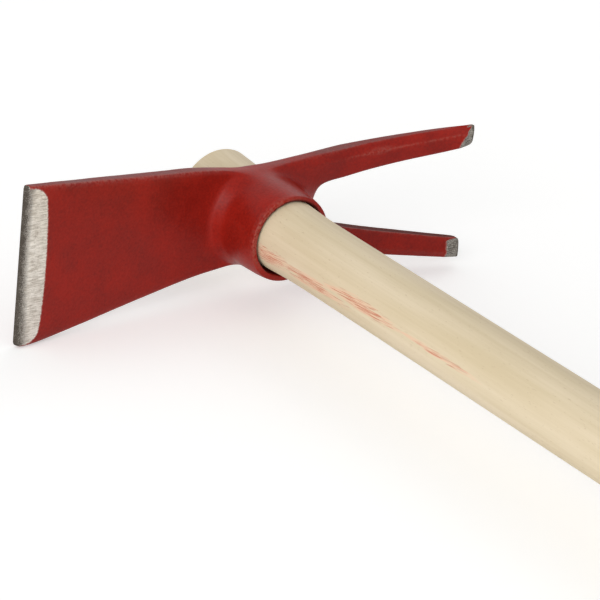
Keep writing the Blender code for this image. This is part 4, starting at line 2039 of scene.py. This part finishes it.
def orbit(aim: Vector, azimuth: float, elevation: float, roll: float, distance: float) -> Matrix:
    """A place around a point that faces it; azimuth 0 looks along +Y and 90 along -X.

    Args:
        aim: The point that is faced.
        azimuth: Turn around the vertical, in degrees.
        elevation: Angle above the ground, in degrees.
        roll: Turn around the line of sight, in degrees.
        distance: Distance from the point.

    Returns:
        The matrix of a camera or a lamp there.
    """
    turn = Matrix.Rotation(math.radians(azimuth), 4, "Z")
    tilt = Matrix.Rotation(math.radians(90 - elevation), 4, "X")
    spin = Matrix.Rotation(math.radians(roll), 4, "Z")
    facing = turn @ tilt @ spin
    return Matrix.Translation(aim) @ facing @ Matrix.Translation(Vector((0, 0, distance)))


@dataclass(frozen=True)
class Studio:
    """A plain white floor and surround, with a soft lamp in front on the left and a weak one behind."""

    aim: Vector
    floor_half_side: float = 4.0
    floor_colour: str = "#EDEDEC"
    floor_roughness: float = 0.9
    floor_lift: float = 0.36
    ambient: float = 0.54
    lamps: tuple[SoftBox, ...] = (
        SoftBox("key_light", azimuth=-57.0, elevation=19.0, distance=2.6, size=1.6, watts=35.5),
        SoftBox("rim_light", azimuth=125.0, elevation=42.0, distance=1.6, size=0.8, watts=2.9),
    )

    def build(self) -> bpy.types.Object:
        """Makes the floor, the world and the lamps.

        Returns:
            The floor.
        """
        self._world()
        for lamp in self.lamps:
            lamp.build(self.aim)
        return self._floor()

    def _seen(self, tree: bpy.types.NodeTree) -> bpy.types.NodeSocket:
        """Finds the rays that see the pale background: the camera's, and mirrored and refracted ones.

        Args:
            tree: The tree of the world or of the floor's material.

        Returns:
            1 for those rays and 0 for the others.
        """
        rays = add_node(tree, "ShaderNodeLightPath").node.outputs
        mirrored = add_node(tree, "ShaderNodeMath", {
            0: rays["Is Glossy Ray"], 1: rays["Is Transmission Ray"],
        }, operation="MAXIMUM")
        return add_node(tree, "ShaderNodeMath", {
            0: rays["Is Camera Ray"], 1: mirrored,
        }, operation="MAXIMUM")

    def _world(self) -> None:
        """Makes a white surround that shows as white and lights the tool evenly."""
        world = bpy.data.worlds.new("white_surround")
        world.use_nodes = True
        tree = world.node_tree
        tree.nodes.clear()
        strength_ramp = Ramp(0.0, 1.0, low=self.ambient)
        strength = add_node(tree, "ShaderNodeMapRange", strength_ramp.on(self._seen(tree)))
        light = add_node(tree, "ShaderNodeBackground", {"Color": linear("#FFFFFF"), "Strength": strength})
        add_node(tree, "ShaderNodeOutputWorld", {"Surface": light})
        bpy.context.scene.world = world

    def _floor(self) -> bpy.types.Object:
        """Makes a matt floor at the height that the tool lies on.

        Returns:
            The floor.
        """
        material, tree = new_material("matt_white_floor")
        strength = add_node(tree, "ShaderNodeMath", {
            0: self._seen(tree), 1: self.floor_lift,
        }, operation="MULTIPLY")
        surface = add_node(tree, "ShaderNodeBsdfPrincipled", {
            "Base Color": linear(self.floor_colour), "Roughness": self.floor_roughness,
            "Emission Color": linear("#FFFFFF"), "Emission Strength": strength,
        })
        add_node(tree, "ShaderNodeOutputMaterial", {"Surface": surface})
        shape = bmesh.new()
        bmesh.ops.create_grid(shape, x_segments=1, y_segments=1, size=self.floor_half_side)
        floor = object_from("studio_floor", shape)
        floor.data.transform(Matrix.Translation(Vector((self.aim.x, self.aim.y, 0.0))))
        floor.data.materials.append(material)
        return floor


def main() -> None:
    """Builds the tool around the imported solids, then its studio."""
    logging.basicConfig(level=logging.INFO, format="%(name)s: %(message)s")
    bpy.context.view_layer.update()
    site = ToolSite.from_frame()
    cone = HandleCone(site.top_lift)

    head = ForgedHead(site, cone).build(PaintedForging())
    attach(head, BODY)
    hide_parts("forged_head")
    LOG.info("%s: %d faces", head.name, len(head.data.polygons))

    rim_y = site.eye.y - site.collar_lift
    handle = TurnedHandle(site, cone).build(SandedBeech((site.eye.x, site.eye.z), rim_y))
    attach(handle, BODY)
    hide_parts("handle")
    LOG.info("%s: %d faces", handle.name, len(handle.data.polygons))

    aim = site.eye + AIM_FROM_EYE
    Studio(aim).build()
    Viewpoint(aim).build()
    bpy.context.scene.view_settings.view_transform = "Standard"
    LOG.info("studio around %s", tuple(round(part, 4) for part in aim))


if __name__ == "__main__":
    main()
